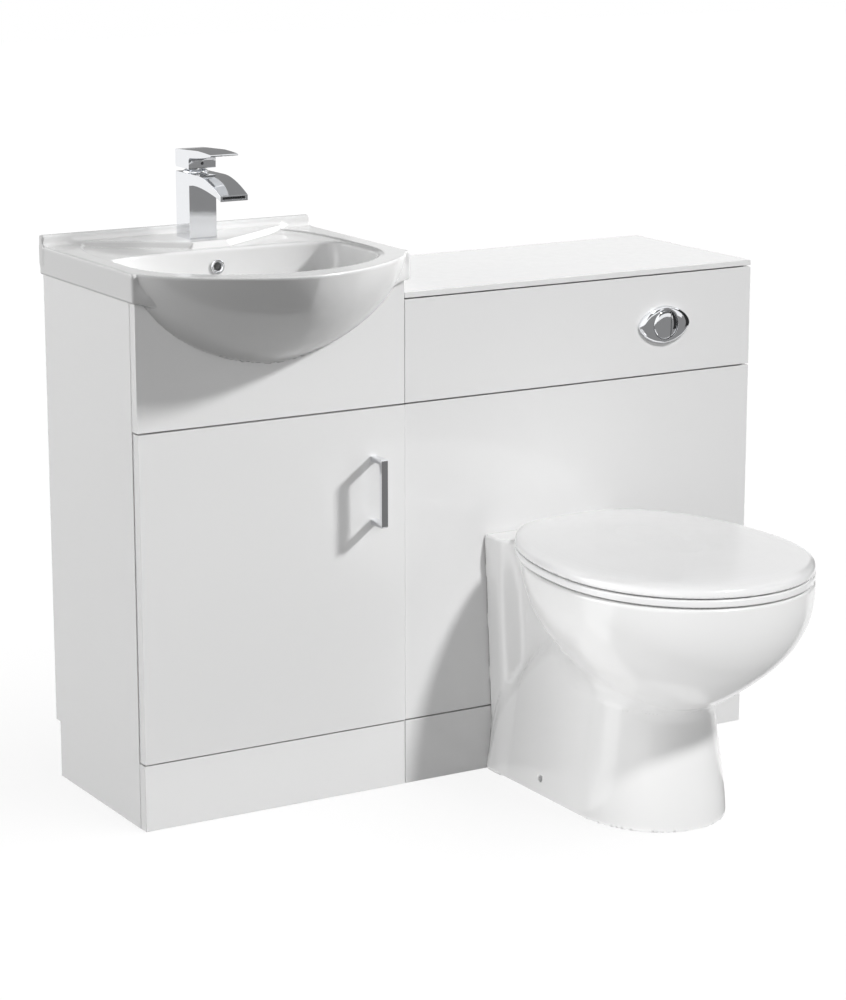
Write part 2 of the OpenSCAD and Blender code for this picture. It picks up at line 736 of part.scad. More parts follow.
lever_ax_y = tap_y + 12;
lever_ax_z = tap_top + 9.6;
lever_z0 = tap_top + 7;

module tap_spindle() placed() color("ivory") difference() {
  union() {
    cyl_z([cx_b, tap_y, tap_top - 5.9], 9.5, 9);
    cyl_z([cx_b, tap_y, tap_top + 3], 7, 10);
    bx([cx_b - 5, tap_y, tap_top + 5.4], [cx_b + 5, lever_ax_y + 4, lever_ax_z + 3.4]);
  }
  cyl_x([cx_b - 20, lever_ax_y, lever_ax_z], 1.5 + run_gap, 40);
}

module lever_profile() polygon([[ty1, lever_z0 + 3], [ty1, lever_z0 + 25.5],
  [ty1 - 1.6, lever_z0 + 27], [ty0, lever_z0 + 29], [tap_y - 55, lever_z0 + 30.6],
  [tap_y - 76, lever_z0 + 29.9], [tap_y - lever_reach + 1, lever_z0 + 28.6],
  [tap_y - lever_reach, lever_z0 + 27.4], [tap_y - lever_reach + 1, lever_z0 + 25.8],
  [tap_y - 76, lever_z0 + 22.2], [tap_y - 50, lever_z0 + 19.2], [ty0 - 4, lever_z0 + 17],
  [ty0 - 1, lever_z0 + 15.4], [ty0, lever_z0 + 12.6], [ty0, lever_z0 + 0.6],
  [ty0 + 0.6, lever_z0], [ty1 - 3, lever_z0]]);

module tap_lever() placed() color("silver") {
  difference() {
    yz(cx_b - tap_w / 2, cx_b + tap_w / 2) lever_profile();
    cyl_z([cx_b, tap_y, lever_z0 - 1], 20.6, 13);
    // hole of the grub screw
    cyl_y([cx_b, ty0 - 1, lever_z0 + 7.5], 2.5, 8);
  }
  // pin through the spindle
  cyl_x([cx_b - 17, lever_ax_y, lever_ax_z], 1.5, 34);
}

module lever_screw() placed() color("dimgray") difference() {
  cyl_y([cx_b, ty0 + 0.5, lever_z0 + 7.5], 2.45, 1.9);
  cyl_y([cx_b, ty0 - 1, lever_z0 + 7.5], 1.2, 2.6);
}

module tap_gasket() placed() color("black") translate([cx_b, tap_y, tap_z]) difference() {
  cylinder(r = 20.9, h = 1.5);
  translate([0, 0, -1]) cylinder(r = 18.5, h = 4);
}

module tap_fixings() placed() color("silver") {
  // stud
  cyl_z([cx_b, tap_y + 11, tap_z - 78], 3.9, 96);
  // horseshoe washer under the deck
  difference() {
    cyl_z([cx_b, tap_y, deck_z - 21], 26, 3);
    bx([cx_b - 15, tap_y - 40, deck_z - 25], [cx_b + 15, tap_y + 4, deck_z]);
    cyl_z([cx_b, tap_y + 11, deck_z - 25], 4, 10);
  }
  hexnut([cx_b, tap_y + 11, deck_z - 28], 13, 7, 3.95);
}

// ---------- toilet unit ----------

module wc_sides() placed() color("white") {
  carcass_side(vanity_w, wc_h - worktop_t);
  carcass_side(total_w - bt, wc_h - worktop_t);
}

module wc_worktop() placed() color("white")
  bx([vanity_w + 0.5, 0, wc_h - worktop_t], [total_w, unit_d, wc_h]);

module wc_panel_upper() placed() color("white") difference() {
  bx([vanity_w + fg / 2, 0, mid_seam + fg], [total_w, bt, wc_h - worktop_t - 2]);
  cyl_y([cx_f, -1, button_z], 28.5, bt + 2);
}

module wc_panel_lower() placed() color("white") difference() {
  bx([vanity_w + fg / 2, 0, door_z0], [total_w, bt, door_z1]);
  cyl_y([cx_p, -1, outlet_z], 62, bt + 2);
  cyl_y([cx_p, -1, inlet_z], 30, bt + 2);
}

module wc_plinth() placed() color("white")
  bx([vanity_w + fg / 2, 0, 0], [total_w, bt, plinth_seam - fg]);

module wc_rails() placed() color("white") {
  x0 = vanity_w + bt;
  x1 = total_w - bt;
  bx([x0, bt, mid_seam - 18], [x1, 2 * bt, mid_seam + 30]);
  bx([x0, bt, wc_h - worktop_t - bt], [x1, bt + 60, wc_h - worktop_t]);
  bx([x0, bt, 30], [x1, 2 * bt, plinth_seam + 14]);
  difference() {
    bx([x0, unit_d - bt, wc_h - worktop_t - 162], [x1, unit_d, wc_h - worktop_t - 72]);
    for (x = [x0 + 60, x1 - 60]) cyl_y([x, unit_d - bt - 1, wc_h - worktop_t - 117], 4, bt + 2);
  }
  bx([x0, unit_d - bt, tank_z0 - 62], [x1, unit_d, tank_z0 + 30]);
}

// ---------- flush button ----------

function eye(s, y, n = 48) = [for (i = [0:n - 1]) let (g = 360 * (i + 0.5) / n)
  [cx_f + s[0] * se(cos(g), 1.75), s[1] * se(sin(g), 1.75), y]];

module flush_bezel() placed() color("silver") {
  a = bezel_w / 2;
  b = bezel_h / 2;
  difference() {
    // drawn level, then turned to face forward
    translate([0, 0, button_z]) rotate([90, 0, 0]) loft([
      eye([a - 0.6, b - 0.6], 0), eye([a, b], 0.8), eye([a, b], 3.2),
      eye([a - 0.8, b - 0.6], 4.8), eye([a - 2.6, b - 1.4], 6.2), eye([a - 6, b - 2.4], 7.4),
      eye([a - 11, b - 3], 8)]);
    cyl_y([cx_f, -20, button_z], button_d / 2 + 0.4, 40);
  }
}

// one half of the round button; s is the side of the split it lies on
module button_cap(s, w) {
  r = button_d / 2 - 0.3;
  split = cx_f + 0.2 * button_d;
  intersection() {
    union() {
      translate([cx_f, 0, button_z]) rotate([90, 0, 0]) rotate_extrude() polygon([
        [0, -16], [r - 1, -16], [r, -15], [r, 6.6], [r - 0.8, 7.6], [r - 4, 8.6],
        [r - 10, 9.2], [0, 9.6]]);
    }
    if (s < 0) bx([cx_f - 60, -20, button_z - 60], [split - w, 40, button_z + 60]);
    else bx([split + w, -20, button_z - 60], [cx_f + 60, 40, button_z + 60]);
  }
}

stem_full = -9;
stem_half = 13;

module button_stem(x) cyl_y([cx_f + x, 15, button_z], 2 - run_gap, 47);

module flush_button_full() placed() color("silver") {
  button_cap(-1, 0.6);
  button_stem(stem_full);
}

module flush_button_half() placed() color("silver") {
  button_cap(1, 0.6);
  button_stem(stem_half);
}

module flush_housing() placed() color("dimgray") {
  r = button_d / 2;
  difference() {
    union() {
      cyl_y([cx_f, 0.2, button_z], r + 3.3, 58);
      for (x = [stem_full, stem_half]) cyl_y([cx_f + x, 58, button_z], 3.4, 16);
    }
    cyl_y([cx_f, -1, button_z], r + 0.5, 40);
    for (x = [stem_full, stem_half]) cyl_y([cx_f + x, 36, button_z], 2, 50);
  }
  // back nut
  difference() {
    cyl_y([cx_f, bt, button_z], r + 12, 8);
    cyl_y([cx_f, bt - 1, button_z], r + 3.35, 12);
    for (g = [0:60:300]) translate([cx_f, bt - 1, button_z]) rotate([-90, 0, 0]) rotate(g)
      translate([r + 12.5, 0, 0]) cylinder(r = 3, h = 12, $fn = 24);
  }
}

// ---------- cistern ----------

module cistern_tank() placed() color("whitesmoke") difference() {
  translate([0, 0, tank_z0]) linear_extrude(tank_z1 - tank_z0) tank_plan(0);
  translate([0, 0, tank_z0 + 4]) linear_extrude(400) tank_plan(3.5);
  cyl_z([cx_p, tank_cy, tank_z0 - 1], 20.2, 10);
  cyl_z([fill_x, tank_cy, tank_z0 - 1], 10.4, 10);
}

module tank_plan(i) {
  translate([tank_x0 + i, tank_y0 + i])
    square([tank_x1 - tank_x0 - 2 * i, tank_y1 - tank_y0 - 2 * i]);
}

module cistern_lid() placed() color("whitesmoke") difference() {
  union() {
    translate([0, 0, tank_z1]) linear_extrude(5) tank_plan(-4 + 4);
    translate([0, 0, tank_z1 - 8]) linear_extrude(8) tank_plan(4);
  }
  translate([0, 0, tank_z1 - 9]) linear_extrude(9) tank_plan(6.5);
}

module flush_valve() placed() color("lightsteelblue") difference() {
  union() {
    // threaded tail, seat flange and cage
    cyl_z([cx_p, tank_cy, tank_z0 - 26], 20, 34);
    cyl_z([cx_p, tank_cy, tank_z0 + 4], 34, 5);
    difference() {
      cyl_z([cx_p, tank_cy, tank_z0 + 8], 32, 150);
      for (g = [0, 60, 120]) translate([cx_p, tank_cy, tank_z0 + 14]) rotate(g)
        translate([-40, -10, 0]) cube([80, 20, 46]);
    }
    // back nut under the tank
    cyl_z([cx_p, tank_cy, tank_z0 - 10], 30, 10);
  }
  cyl_z([cx_p, tank_cy, tank_z0 - 30], 16.2, 60);
  cyl_z([cx_p, tank_cy, tank_z0 + 9], 29.5, 140);
  cyl_z([cx_p, tank_cy, tank_z0 + 100], 4 + run_gap, 80);
}

module flush_lifter() placed() color("steelblue") {
  cyl_z([cx_p, tank_cy, tank_z0 + 9.1], 24, 4);
  cyl_z([cx_p, tank_cy, tank_z0 + 13], 12, 70);
  cyl_z([cx_p, tank_cy, tank_z0 + 80], 4, 102);
  cyl_z([cx_p, tank_cy, tank_z0 + 182], 9, 4);
}

module fill_valve() placed() color("lightsteelblue") difference() {
  union() {
    cyl_z([fill_x, tank_cy, tank_z0 - 44], 10.3, 60);
    cyl_z([fill_x, tank_cy, tank_z0 - 12], 16, 12);
    cyl_z([fill_x, tank_cy, tank_z0 + 4], 17, 8);
    cyl_z([fill_x, tank_cy, tank_z0 + 10], 10, 240);
    cyl_z([fill_x, tank_cy, tank_z0 + 120], 15, 6);
    cyl_z([fill_x, tank_cy, tank_z0 + 232], 19, 24);
    bx([fill_x - 44, tank_cy - 5, tank_z0 + 240], [fill_x, tank_cy + 5, tank_z0 + 248]);
  }
  cyl_z([fill_x, tank_cy, tank_z0 - 45], 6.5, 250);
}

module fill_float() placed() color("white") difference() {
  cyl_z([fill_x, tank_cy, tank_z0 + 126.1], 29, 52);
  cyl_z([fill_x, tank_cy, tank_z0 + 120], 10 + run_gap, 70);
  cyl_z([fill_x, tank_cy, tank_z0 + 120], 26, 54);
}

pipe_r = 16;
bend_r = 34;

// way of the flush pipe at radius r, starting at a height below the tank
module flush_way(r, top, y0) {
  cyl_z([cx_p, tank_cy, inlet_z + bend_r], r, top - inlet_z - bend_r);
  translate([cx_p, tank_cy - bend_r, inlet_z + bend_r]) rotate([0, 90, 0])
    rotate_extrude(angle = 90) translate([bend_r, 0]) circle(r = r);
  cyl_y([cx_p, y0, inlet_z], r, tank_cy - bend_r - y0);
}

module flush_pipe() placed() color("white") {
  zt = tank_z0 - 26;
  difference() {
    union() {
      flush_way(pipe_r, zt - 0.5, -20);
      // collar that the nut pulls against the valve's tail
      cyl_z([cx_p, tank_cy, zt - 4], 20, 4);
    }
    flush_way(pipe_r - 1.8, zt + 1, -21);
  }
  // coupling nut
  difference() {
    union() {
      cyl_z([cx_p, tank_cy, zt - 7.1], 24, 22);
      for (g = [0:60:300]) translate([cx_p, tank_cy, zt - 5]) rotate(g) translate([24, 0, 0])
        cylinder(r = 2, h = 18, $fn = 24);
    }
    cyl_z([cx_p, tank_cy, zt - 8], pipe_r + 0.1, 8);
    cyl_z([cx_p, tank_cy, zt - 4.05], 20.05, 40);
  }
}

module flush_cone() placed() color("black") translate([cx_p, -24, inlet_z]) rotate([-90, 0, 0])
  rotate_extrude() polygon([[16.05, 0], [24, 0], [26.9, 6], [26.9, 24.1], [29, 24.2], [29, 34],
    [22, 38], [16.05, 38]]);

module soil_connector() placed() color("whitesmoke") difference() {
  union() {
    cyl_y([cx_p, 20, outlet_z], 60, 44);
    cyl_y([cx_p, 60, outlet_z], 55, unit_d - 60);
  }
  cyl_y([cx_p, 10, outlet_z], 51.1, 50.1);
  cyl_y([cx_p, 50, outlet_z], 50, unit_d);
}

// ---------- pan ----------

pan_cy = 229 - pan_reach;
base_w = 113;

// bowl of the pan: [depth below the rim, half-width, front reach, back reach, shift back]
pan_rings = [
  [0, 196.5, 225.5, 262, 0], [1.6, 199, 228, 265, 0], [5, 200, 229, 266, 0],
  [22, 200, 229, 258, 0], [44, 197, 226.5, 246, 0], [70, 188, 220, 232, 1],
  [98, 172, 207, 214, 3], [126, 149, 187, 192, 7], [152, 122, 161, 168, 12],
  [174, 98, 136, 146, 18], [192, 80, 112, 120, 24], [206, 62, 86, 90, 30]];

module pan_bowl() loft([for (i = [len(pan_rings) - 1:-1:0]) let (q = pan_rings[i])
  oval(cx_p, pan_cy + q[4], q[1] * pan_w / 400, q[2], q[3], 2.05, 2.2, pan_h - q[0], NP)]);

// foot: outline at each height [height, half-width, front, back half length]
foot_rings = [[0, 116, 411], [3, 118, 413], [40, 115, 408], [90, 109, 400], [140, 102, 392],
  [190, 96, 386], [250, 93, 384]];

module pan_foot() intersection() {
  loft([for (q = foot_rings) oval(cx_p, -272, q[1], q[2] - 272, 272, 2, 14, q[0], NP)]);
  // shoulder where the foot meets the neck
  yz(cx_p - 200, cx_p + 200) polygon([[1, -1], [1, 20], [-9, 40], [-20, 78], [-33, 108],
    [-50, 138], [-70, 166], [-92, 190], [-118, 212], [-148, 229], [-190, 240], [-240, 244],
    [-420, 244], [-430, -1]]);
}

module pan_back() loft([for (q = [[0, 106, 52], [60, 108, 52], [180, 113.5, 52], [300, 119, 52],
    [pan_h - 4, 123.6, 54], [pan_h - 1, 123, 53.4], [pan_h, 121.6, 52]])
  rrect(cx_p - q[1], cx_p + q[1], -q[2], 24, 22, q[0])]);

module pan_neck() loft([for (q = [[60, 86], [150, 84], [230, 86], [300, 92], [350, 101],
    [pan_h - 4, 112], [pan_h, 110]])
  rrect(cx_p - q[1], cx_p + q[1], -300, -20, 10, q[0])]);

module pan_inside() loft([for (q = [[182, 44, 62, 52, 34], [176, 54, 76, 62, 30],
    [150, 78, 112, 92, 22], [118, 100, 150, 114, 12], [84, 114, 178, 124, 4],
    [52, 121, 191, 128, 0], [34, 124, 195, 130, 0], [30, 136, 207, 140, 0], [14, 137, 208, 141, 0],
    [11, 126, 197, 131, 0], [4, 125, 196, 130, 0], [0, 128, 199, 133, 0], [-2, 130, 201, 135, 0]])
  oval(cx_p, pan_cy + q[4], q[1], q[2], q[3], 2.1, 2.6, pan_h - q[0], NP)]);

// hollow of the foot, open below
module foot_hollow() difference() {
  loft([for (q = [[-1, 101, 399], [40, 98, 396], [90, 92, 388], [128, 84, 374], [150, 70, 350]])
    oval(cx_p, -240, q[1], q[2] - 240, 215, 2, 6, q[0], 40)]);
  rod([cx_p, -335, 205], [cx_p, -285, 158], 50);
  rod([cx_p, -285, 158], [cx_p, -240, 158], 50);
  rod([cx_p, -240, 158], [cx_p, -182, 232], 50);
  rod([cx_p, -100, outlet_z], [cx_p, -10, outlet_z], 56);
}

// bent way out of the bowl, each length a little narrower than the last
module trapway(r) {
  p = [[cx_p, -322, 222], [cx_p, -285, 162], [cx_p, -236, 162], [cx_p, -182, 240],
    [cx_p, -128, 240], [cx_p, -92, outlet_z], [cx_p, 60, outlet_z]];
  for (i = [0:len(p) - 2]) {
    u = (p[i + 1] - p[i]) / norm(p[i + 1] - p[i]);
    rod(p[i] - u * r * 0.35, p[i + 1] + u * r * 0.35, r - i * 0.6);
  }
}

module pan() placed() color("white") difference() {
  union() {
    intersection() {
      union() {
        pan_bowl();
        pan_foot();
        pan_back();
        pan_neck();
      }
      bx([cx_p - 300, -700, 0], [cx_p + 300, 0, 600]);
    }
    // outlet spigot
    cyl_y([cx_p, -30, outlet_z], 51, 80);
  }
  pan_inside();
  foot_hollow();
  trapway(40);
  // flush inlet and its way to the rim
  cyl_y([cx_p, -34, inlet_z], 27, 40);
  rod([cx_p, -40, inlet_z], [cx_p, -214, pan_h - 24], 15);
  // seat fixings
  for (s = [-0.5, 0.5]) cyl_z([cx_p + s * seat_pitch, hinge_y, pan_h - 60], 7, 80);
  // wells under the seat fixings, reached from the back
  for (s = [-0.5, 0.5]) bx([cx_p + s * seat_pitch - 15, hinge_y - 14, pan_h - 80],
    [cx_p + s * seat_pitch + 15, 20, pan_h - 18]);
  // side holes for the floor screws
  for (s = [-1, 1]) {
    cyl_x([min(cx_p + s * 60, cx_p + s * 108), fix_y, fix_z], 2.4, 48);
    cyl_x([min(cx_p + s * 107.9, cx_p + s * 128), fix_y, fix_z], 4.4, 20.1);
  }
}

// ---------- seat and lid ----------

function lid_ring(z, i, n = NP) = oval(cx_p, pan_cy, pan_w / 2 - i, 229 - i, 300 - i, 2.05, 2.1, z, n);

module seat_ring() placed() color("white") {
  difference() {
    union() {
      intersection() {
        loft([lid_ring(seat_z, 2.5), lid_ring(seat_z + 1.6, 0.6), lid_ring(seat_z + 4, 0),
          lid_ring(seat_z + seat_t - 3, 0), lid_ring(seat_z + seat_t - 1, 0.8),
          lid_ring(seat_z + seat_t, 2.4)]);
        bx([0, -700, 0], [2000, hinge_y - 12, 900]);
      }
      // hinge lugs
      for (s = [-1, 1]) seat_lug(cx_p + s * (seat_pitch / 2 - 22), 6);
    }
    // opening
    loft([for (q = [[-1, 8], [1, 5], [4, 1.5], [7, 0], [9, 1], [11, 4.5], [13, 11]])
      oval(cx_p, pan_cy + 4, 117 + q[1], 190 + q[1], 122 + q[1], 2.1, 2.4, seat_z + q[0], NP)]);
    cyl_x([cx_p - 110, hinge_y, seat_axis_z], 3 + run_gap, 220);
    // room for the hinge posts
    for (s = [-0.5, 0.5]) translate([cx_p + s * seat_pitch, hinge_y, seat_z - 10])
      cylinder(r = 18, h = 60);
  }
}

module seat_lug(x, w) {
  bx([x - w, hinge_y - 26, seat_z + 1], [x + w, hinge_y, seat_z + 9]);
  cyl_x([x - w, hinge_y, seat_axis_z], 7.5, 2 * w);
}

module seat_lid() placed() color("white") {
  difference() {
    union() {
      intersection() {
        loft([lid_ring(lid_z, 1.6), lid_ring(lid_z + 1.2, 0.3), lid_ring(lid_z + 3, 0),
          lid_ring(lid_z + 8, 0), lid_ring(lid_z + 12, 2.2), lid_ring(lid_z + 15.4, 8),
          lid_ring(lid_z + 17.6, 18), lid_ring(lid_z + 19.4, 34), lid_ring(lid_z + 21.6, 66),
          lid_ring(lid_z + 23.4, 106), lid_ring(lid_z + 24.6, 150), lid_ring(lid_z + lid_t, 190)]);
        bx([0, -700, 0], [2000, hinge_y - 10.5, 900]);
      }
      for (s = [-1, 1]) lid_lug(cx_p + s * (seat_pitch / 2 - 38), 6);
    }
    // underside pocket
    intersection() {
      loft([lid_ring(lid_z - 1, 12), lid_ring(lid_z + 6, 13), lid_ring(lid_z + 9, 17)]);
      bx([0, -700, 0], [2000, hinge_y - 44, 900]);
    }
    cyl_x([cx_p - 130, hinge_y, seat_axis_z], 3 + run_gap, 260);
    for (s = [-0.5, 0.5]) translate([cx_p + s * seat_pitch, hinge_y, seat_z - 10])
      cylinder(r = 18, h = 25);
    for (s = [-1, 1]) seat_room(cx_p + s * (seat_pitch / 2 - 22), 6.6);
  }
}

module seat_room(x, w) cyl_x([x - w, hinge_y, seat_axis_z], 12, 2 * w);

module lid_lug(x, w) {
  bx([x - w, hinge_y - 26, lid_z + 1.5], [x + w, hinge_y, lid_z + 6.5]);
  cyl_x([x - w, hinge_y, seat_axis_z], 7.5, 2 * w);
}

// posts bolted to the pan, each with its pin
module seat_hinges() placed() color("silver") for (s = [-0.5, 0.5]) {
  x = cx_p + s * seat_pitch;
  difference() {
    union() {
      cyl_z([x, hinge_y, pan_h], 14, 4);
      cyl_z([x, hinge_y, pan_h], 9, seat_axis_z - pan_h);
      cyl_x([x - 9, hinge_y, seat_axis_z], 8, 18);
      cyl_z([x, hinge_y, pan_h - 34], 4, 36);
    }
    cyl_x([x - 20, hinge_y, seat_axis_z], 3, 40);
  }
  cyl_x([min(x + s * 17.2, x - s * 94), hinge_y, seat_axis_z], 2.99, 55.6);
  // wing nut and washer under the rim
  difference() {
    union() {
      cyl_z([x, hinge_y, pan_h - 20], 12, 2);
      cyl_z([x, hinge_y, pan_h - 30], 8, 10);
      bx([x - 13, hinge_y - 2, pan_h - 30], [x + 13, hinge_y + 2, pan_h - 22]);
    }
    cyl_z([x, hinge_y, pan_h - 40], 4.02, 40);
  }
}

module seat_buffers() placed() color("lightgray") for (q = [[-150, -250], [150, -250],
    [-120, -470], [120, -470]]) translate([cx_p + q[0], q[1], pan_h])
  cylinder(r1 = 6.4, r2 = 7, h = seat_z - pan_h);

module lid_buffers() placed() color("lightgray") for (q = [[-158, -330], [158, -330]])
  translate([cx_p + q[0], q[1], seat_z + seat_t]) cylinder(r = 6, h = seat_gap + 9);

module pan_fixings() placed() color("gray") for (s = [-1, 1]) {
  // floor bracket inside the foot
  x0 = cx_p + s * 80;
  difference() {
    union() {
      bx([min(x0, x0 - s * 26), fix_y - 20, 0], [max(x0, x0 - s * 26), fix_y + 20, 4]);
      bx([min(x0, x0 - s * 4), fix_y - 20, 0], [max(x0, x0 - s * 4), fix_y + 20, 40]);
    }
    cyl_z([x0 - s * 16, fix_y, -1], 3.2, 8);
    cyl_x([min(x0, x0 - s * 4) - 1, fix_y, fix_z], 2.1, 6);
  }
  // side screw, its head sunk in the wall of the foot
  cyl_x([min(x0 - s * 8, cx_p + s * 108), fix_y, fix_z], 2, 36);
  cyl_x([min(cx_p + s * 108, cx_p + s * 110.5), fix_y, fix_z], 4, 2.5);
  // floor screw
  cyl_z([x0 - s * 16, fix_y, 0], 3, 4.5);
  cyl_z([x0 - s * 16, fix_y, 4.05], 6, 3);
}
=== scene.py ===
"""The looks of a toilet and basin combination unit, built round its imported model.

The furniture, the metalwork and the small parts keep their CAD shapes and get edges and
finishes. The castings and mouldings (basin, pan, seat ring, seat lid) are new pieces, drawn
in the makers' draft: millimetres, X from the vanity's left side, Y from the plane of the
fronts, Z up. Draft.place turns a draft point into the row frame in metres.
"""

from __future__ import annotations

import json
import logging
import math
from dataclasses import dataclass, field
from enum import Enum
from typing import Callable, Sequence

import bmesh
import bpy
import numpy as np
from mathutils import Matrix, Vector

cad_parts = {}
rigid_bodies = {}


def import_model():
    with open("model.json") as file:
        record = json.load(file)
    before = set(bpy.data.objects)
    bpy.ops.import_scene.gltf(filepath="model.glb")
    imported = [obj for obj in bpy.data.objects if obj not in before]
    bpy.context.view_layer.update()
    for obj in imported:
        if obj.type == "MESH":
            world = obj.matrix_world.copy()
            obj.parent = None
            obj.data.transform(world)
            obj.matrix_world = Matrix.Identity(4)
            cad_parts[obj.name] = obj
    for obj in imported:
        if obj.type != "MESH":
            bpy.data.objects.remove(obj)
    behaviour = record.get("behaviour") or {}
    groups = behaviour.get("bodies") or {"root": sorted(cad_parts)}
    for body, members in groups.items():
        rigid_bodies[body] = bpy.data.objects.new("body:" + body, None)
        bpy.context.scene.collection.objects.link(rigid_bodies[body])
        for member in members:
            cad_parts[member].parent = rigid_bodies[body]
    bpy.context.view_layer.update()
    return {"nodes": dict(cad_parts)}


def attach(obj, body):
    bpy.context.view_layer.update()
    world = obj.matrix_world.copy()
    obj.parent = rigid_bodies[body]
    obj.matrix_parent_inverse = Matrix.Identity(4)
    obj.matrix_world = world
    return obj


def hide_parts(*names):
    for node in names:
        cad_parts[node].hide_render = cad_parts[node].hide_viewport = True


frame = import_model()

log = logging.getLogger("unit")
Cloud = np.ndarray
Solid = Callable[[Cloud], Cloud]
Curves = Callable[[Cloud], list[Cloud]]
TINY = 1e-6


# ---------------- draft


class Draft:
    """The drawing's frame, in millimetres."""

    ORIGIN = np.array((546.5, -120.0, 0.0))
    PER_METRE = 1000.0

    @staticmethod
    def place(points: Cloud) -> Cloud:
        """Draft points in millimetres as row frame points in metres."""
        return (np.asarray(points, float) - Draft.ORIGIN) / Draft.PER_METRE


# ---------------- finishes


class Grain(Enum):
    """The fine relief that a finish carries."""

    ORANGE_PEEL = "orange peel of a pressed gloss foil"
    GLAZE = "slow ripple of a fired glaze"
    POLISH = "hairlines of a polished plate"
    ZINC = "crystals of a zinc coat"
    MOULDED = "spark texture of a mould"
    RUBBER = "talced rubber"


def feed(socket: bpy.types.NodeSocket, what: object) -> None:
    """Fills a socket.

    Args:
        socket: The socket.
        what: Another socket, which is linked, or a value.
    """
    if isinstance(what, bpy.types.NodeSocket):
        socket.id_data.links.new(what, socket)
    else:
        socket.default_value = what


def wire(tree: bpy.types.NodeTree, kind: str, **inputs: object) -> bpy.types.Node:
    """Adds a node and fills its sockets.

    Args:
        tree: The tree.
        kind: The node's type without the word ShaderNode.
        **inputs: What goes into its sockets, by name with an underscore for each space.

    Returns:
        The node.
    """
    node = tree.nodes.new(f"ShaderNode{kind}")
    for name, what in inputs.items():
        feed(node.inputs[name.replace("_", " ")], what)
    return node


def maths(tree: bpy.types.NodeTree, operation: str, *terms: object) -> bpy.types.NodeSocket:
    """The result of a math node.

    Args:
        tree: The tree.
        operation: The node's operation.
        *terms: Its terms, each a socket or a value.

    Returns:
        The socket.
    """
    node = tree.nodes.new("ShaderNodeMath")
    node.operation = operation
    for socket, term in zip(node.inputs, terms):
        feed(socket, term)
    return node.outputs[0]


def mixed(tree: bpy.types.NodeTree, share: bpy.types.NodeSocket, *colours: Sequence[float],
          ) -> bpy.types.NodeSocket:
    """A mix of two colours.

    Args:
        tree: The tree.
        share: Share of the second.
        *colours: Both, with alpha.

    Returns:
        The socket.
    """
    node = tree.nodes.new("ShaderNodeMix")
    node.data_type = "RGBA"
    for number, what in zip((0, 6, 7), (share, *colours)):
        feed(node.inputs[number], what)
    return node.outputs[2]


def bare_tree(owner: bpy.types.Material | bpy.types.World) -> bpy.types.NodeTree:
    """The empty node tree of a material or world."""
    owner.use_nodes = True
    owner.node_tree.nodes.clear()
    return owner.node_tree


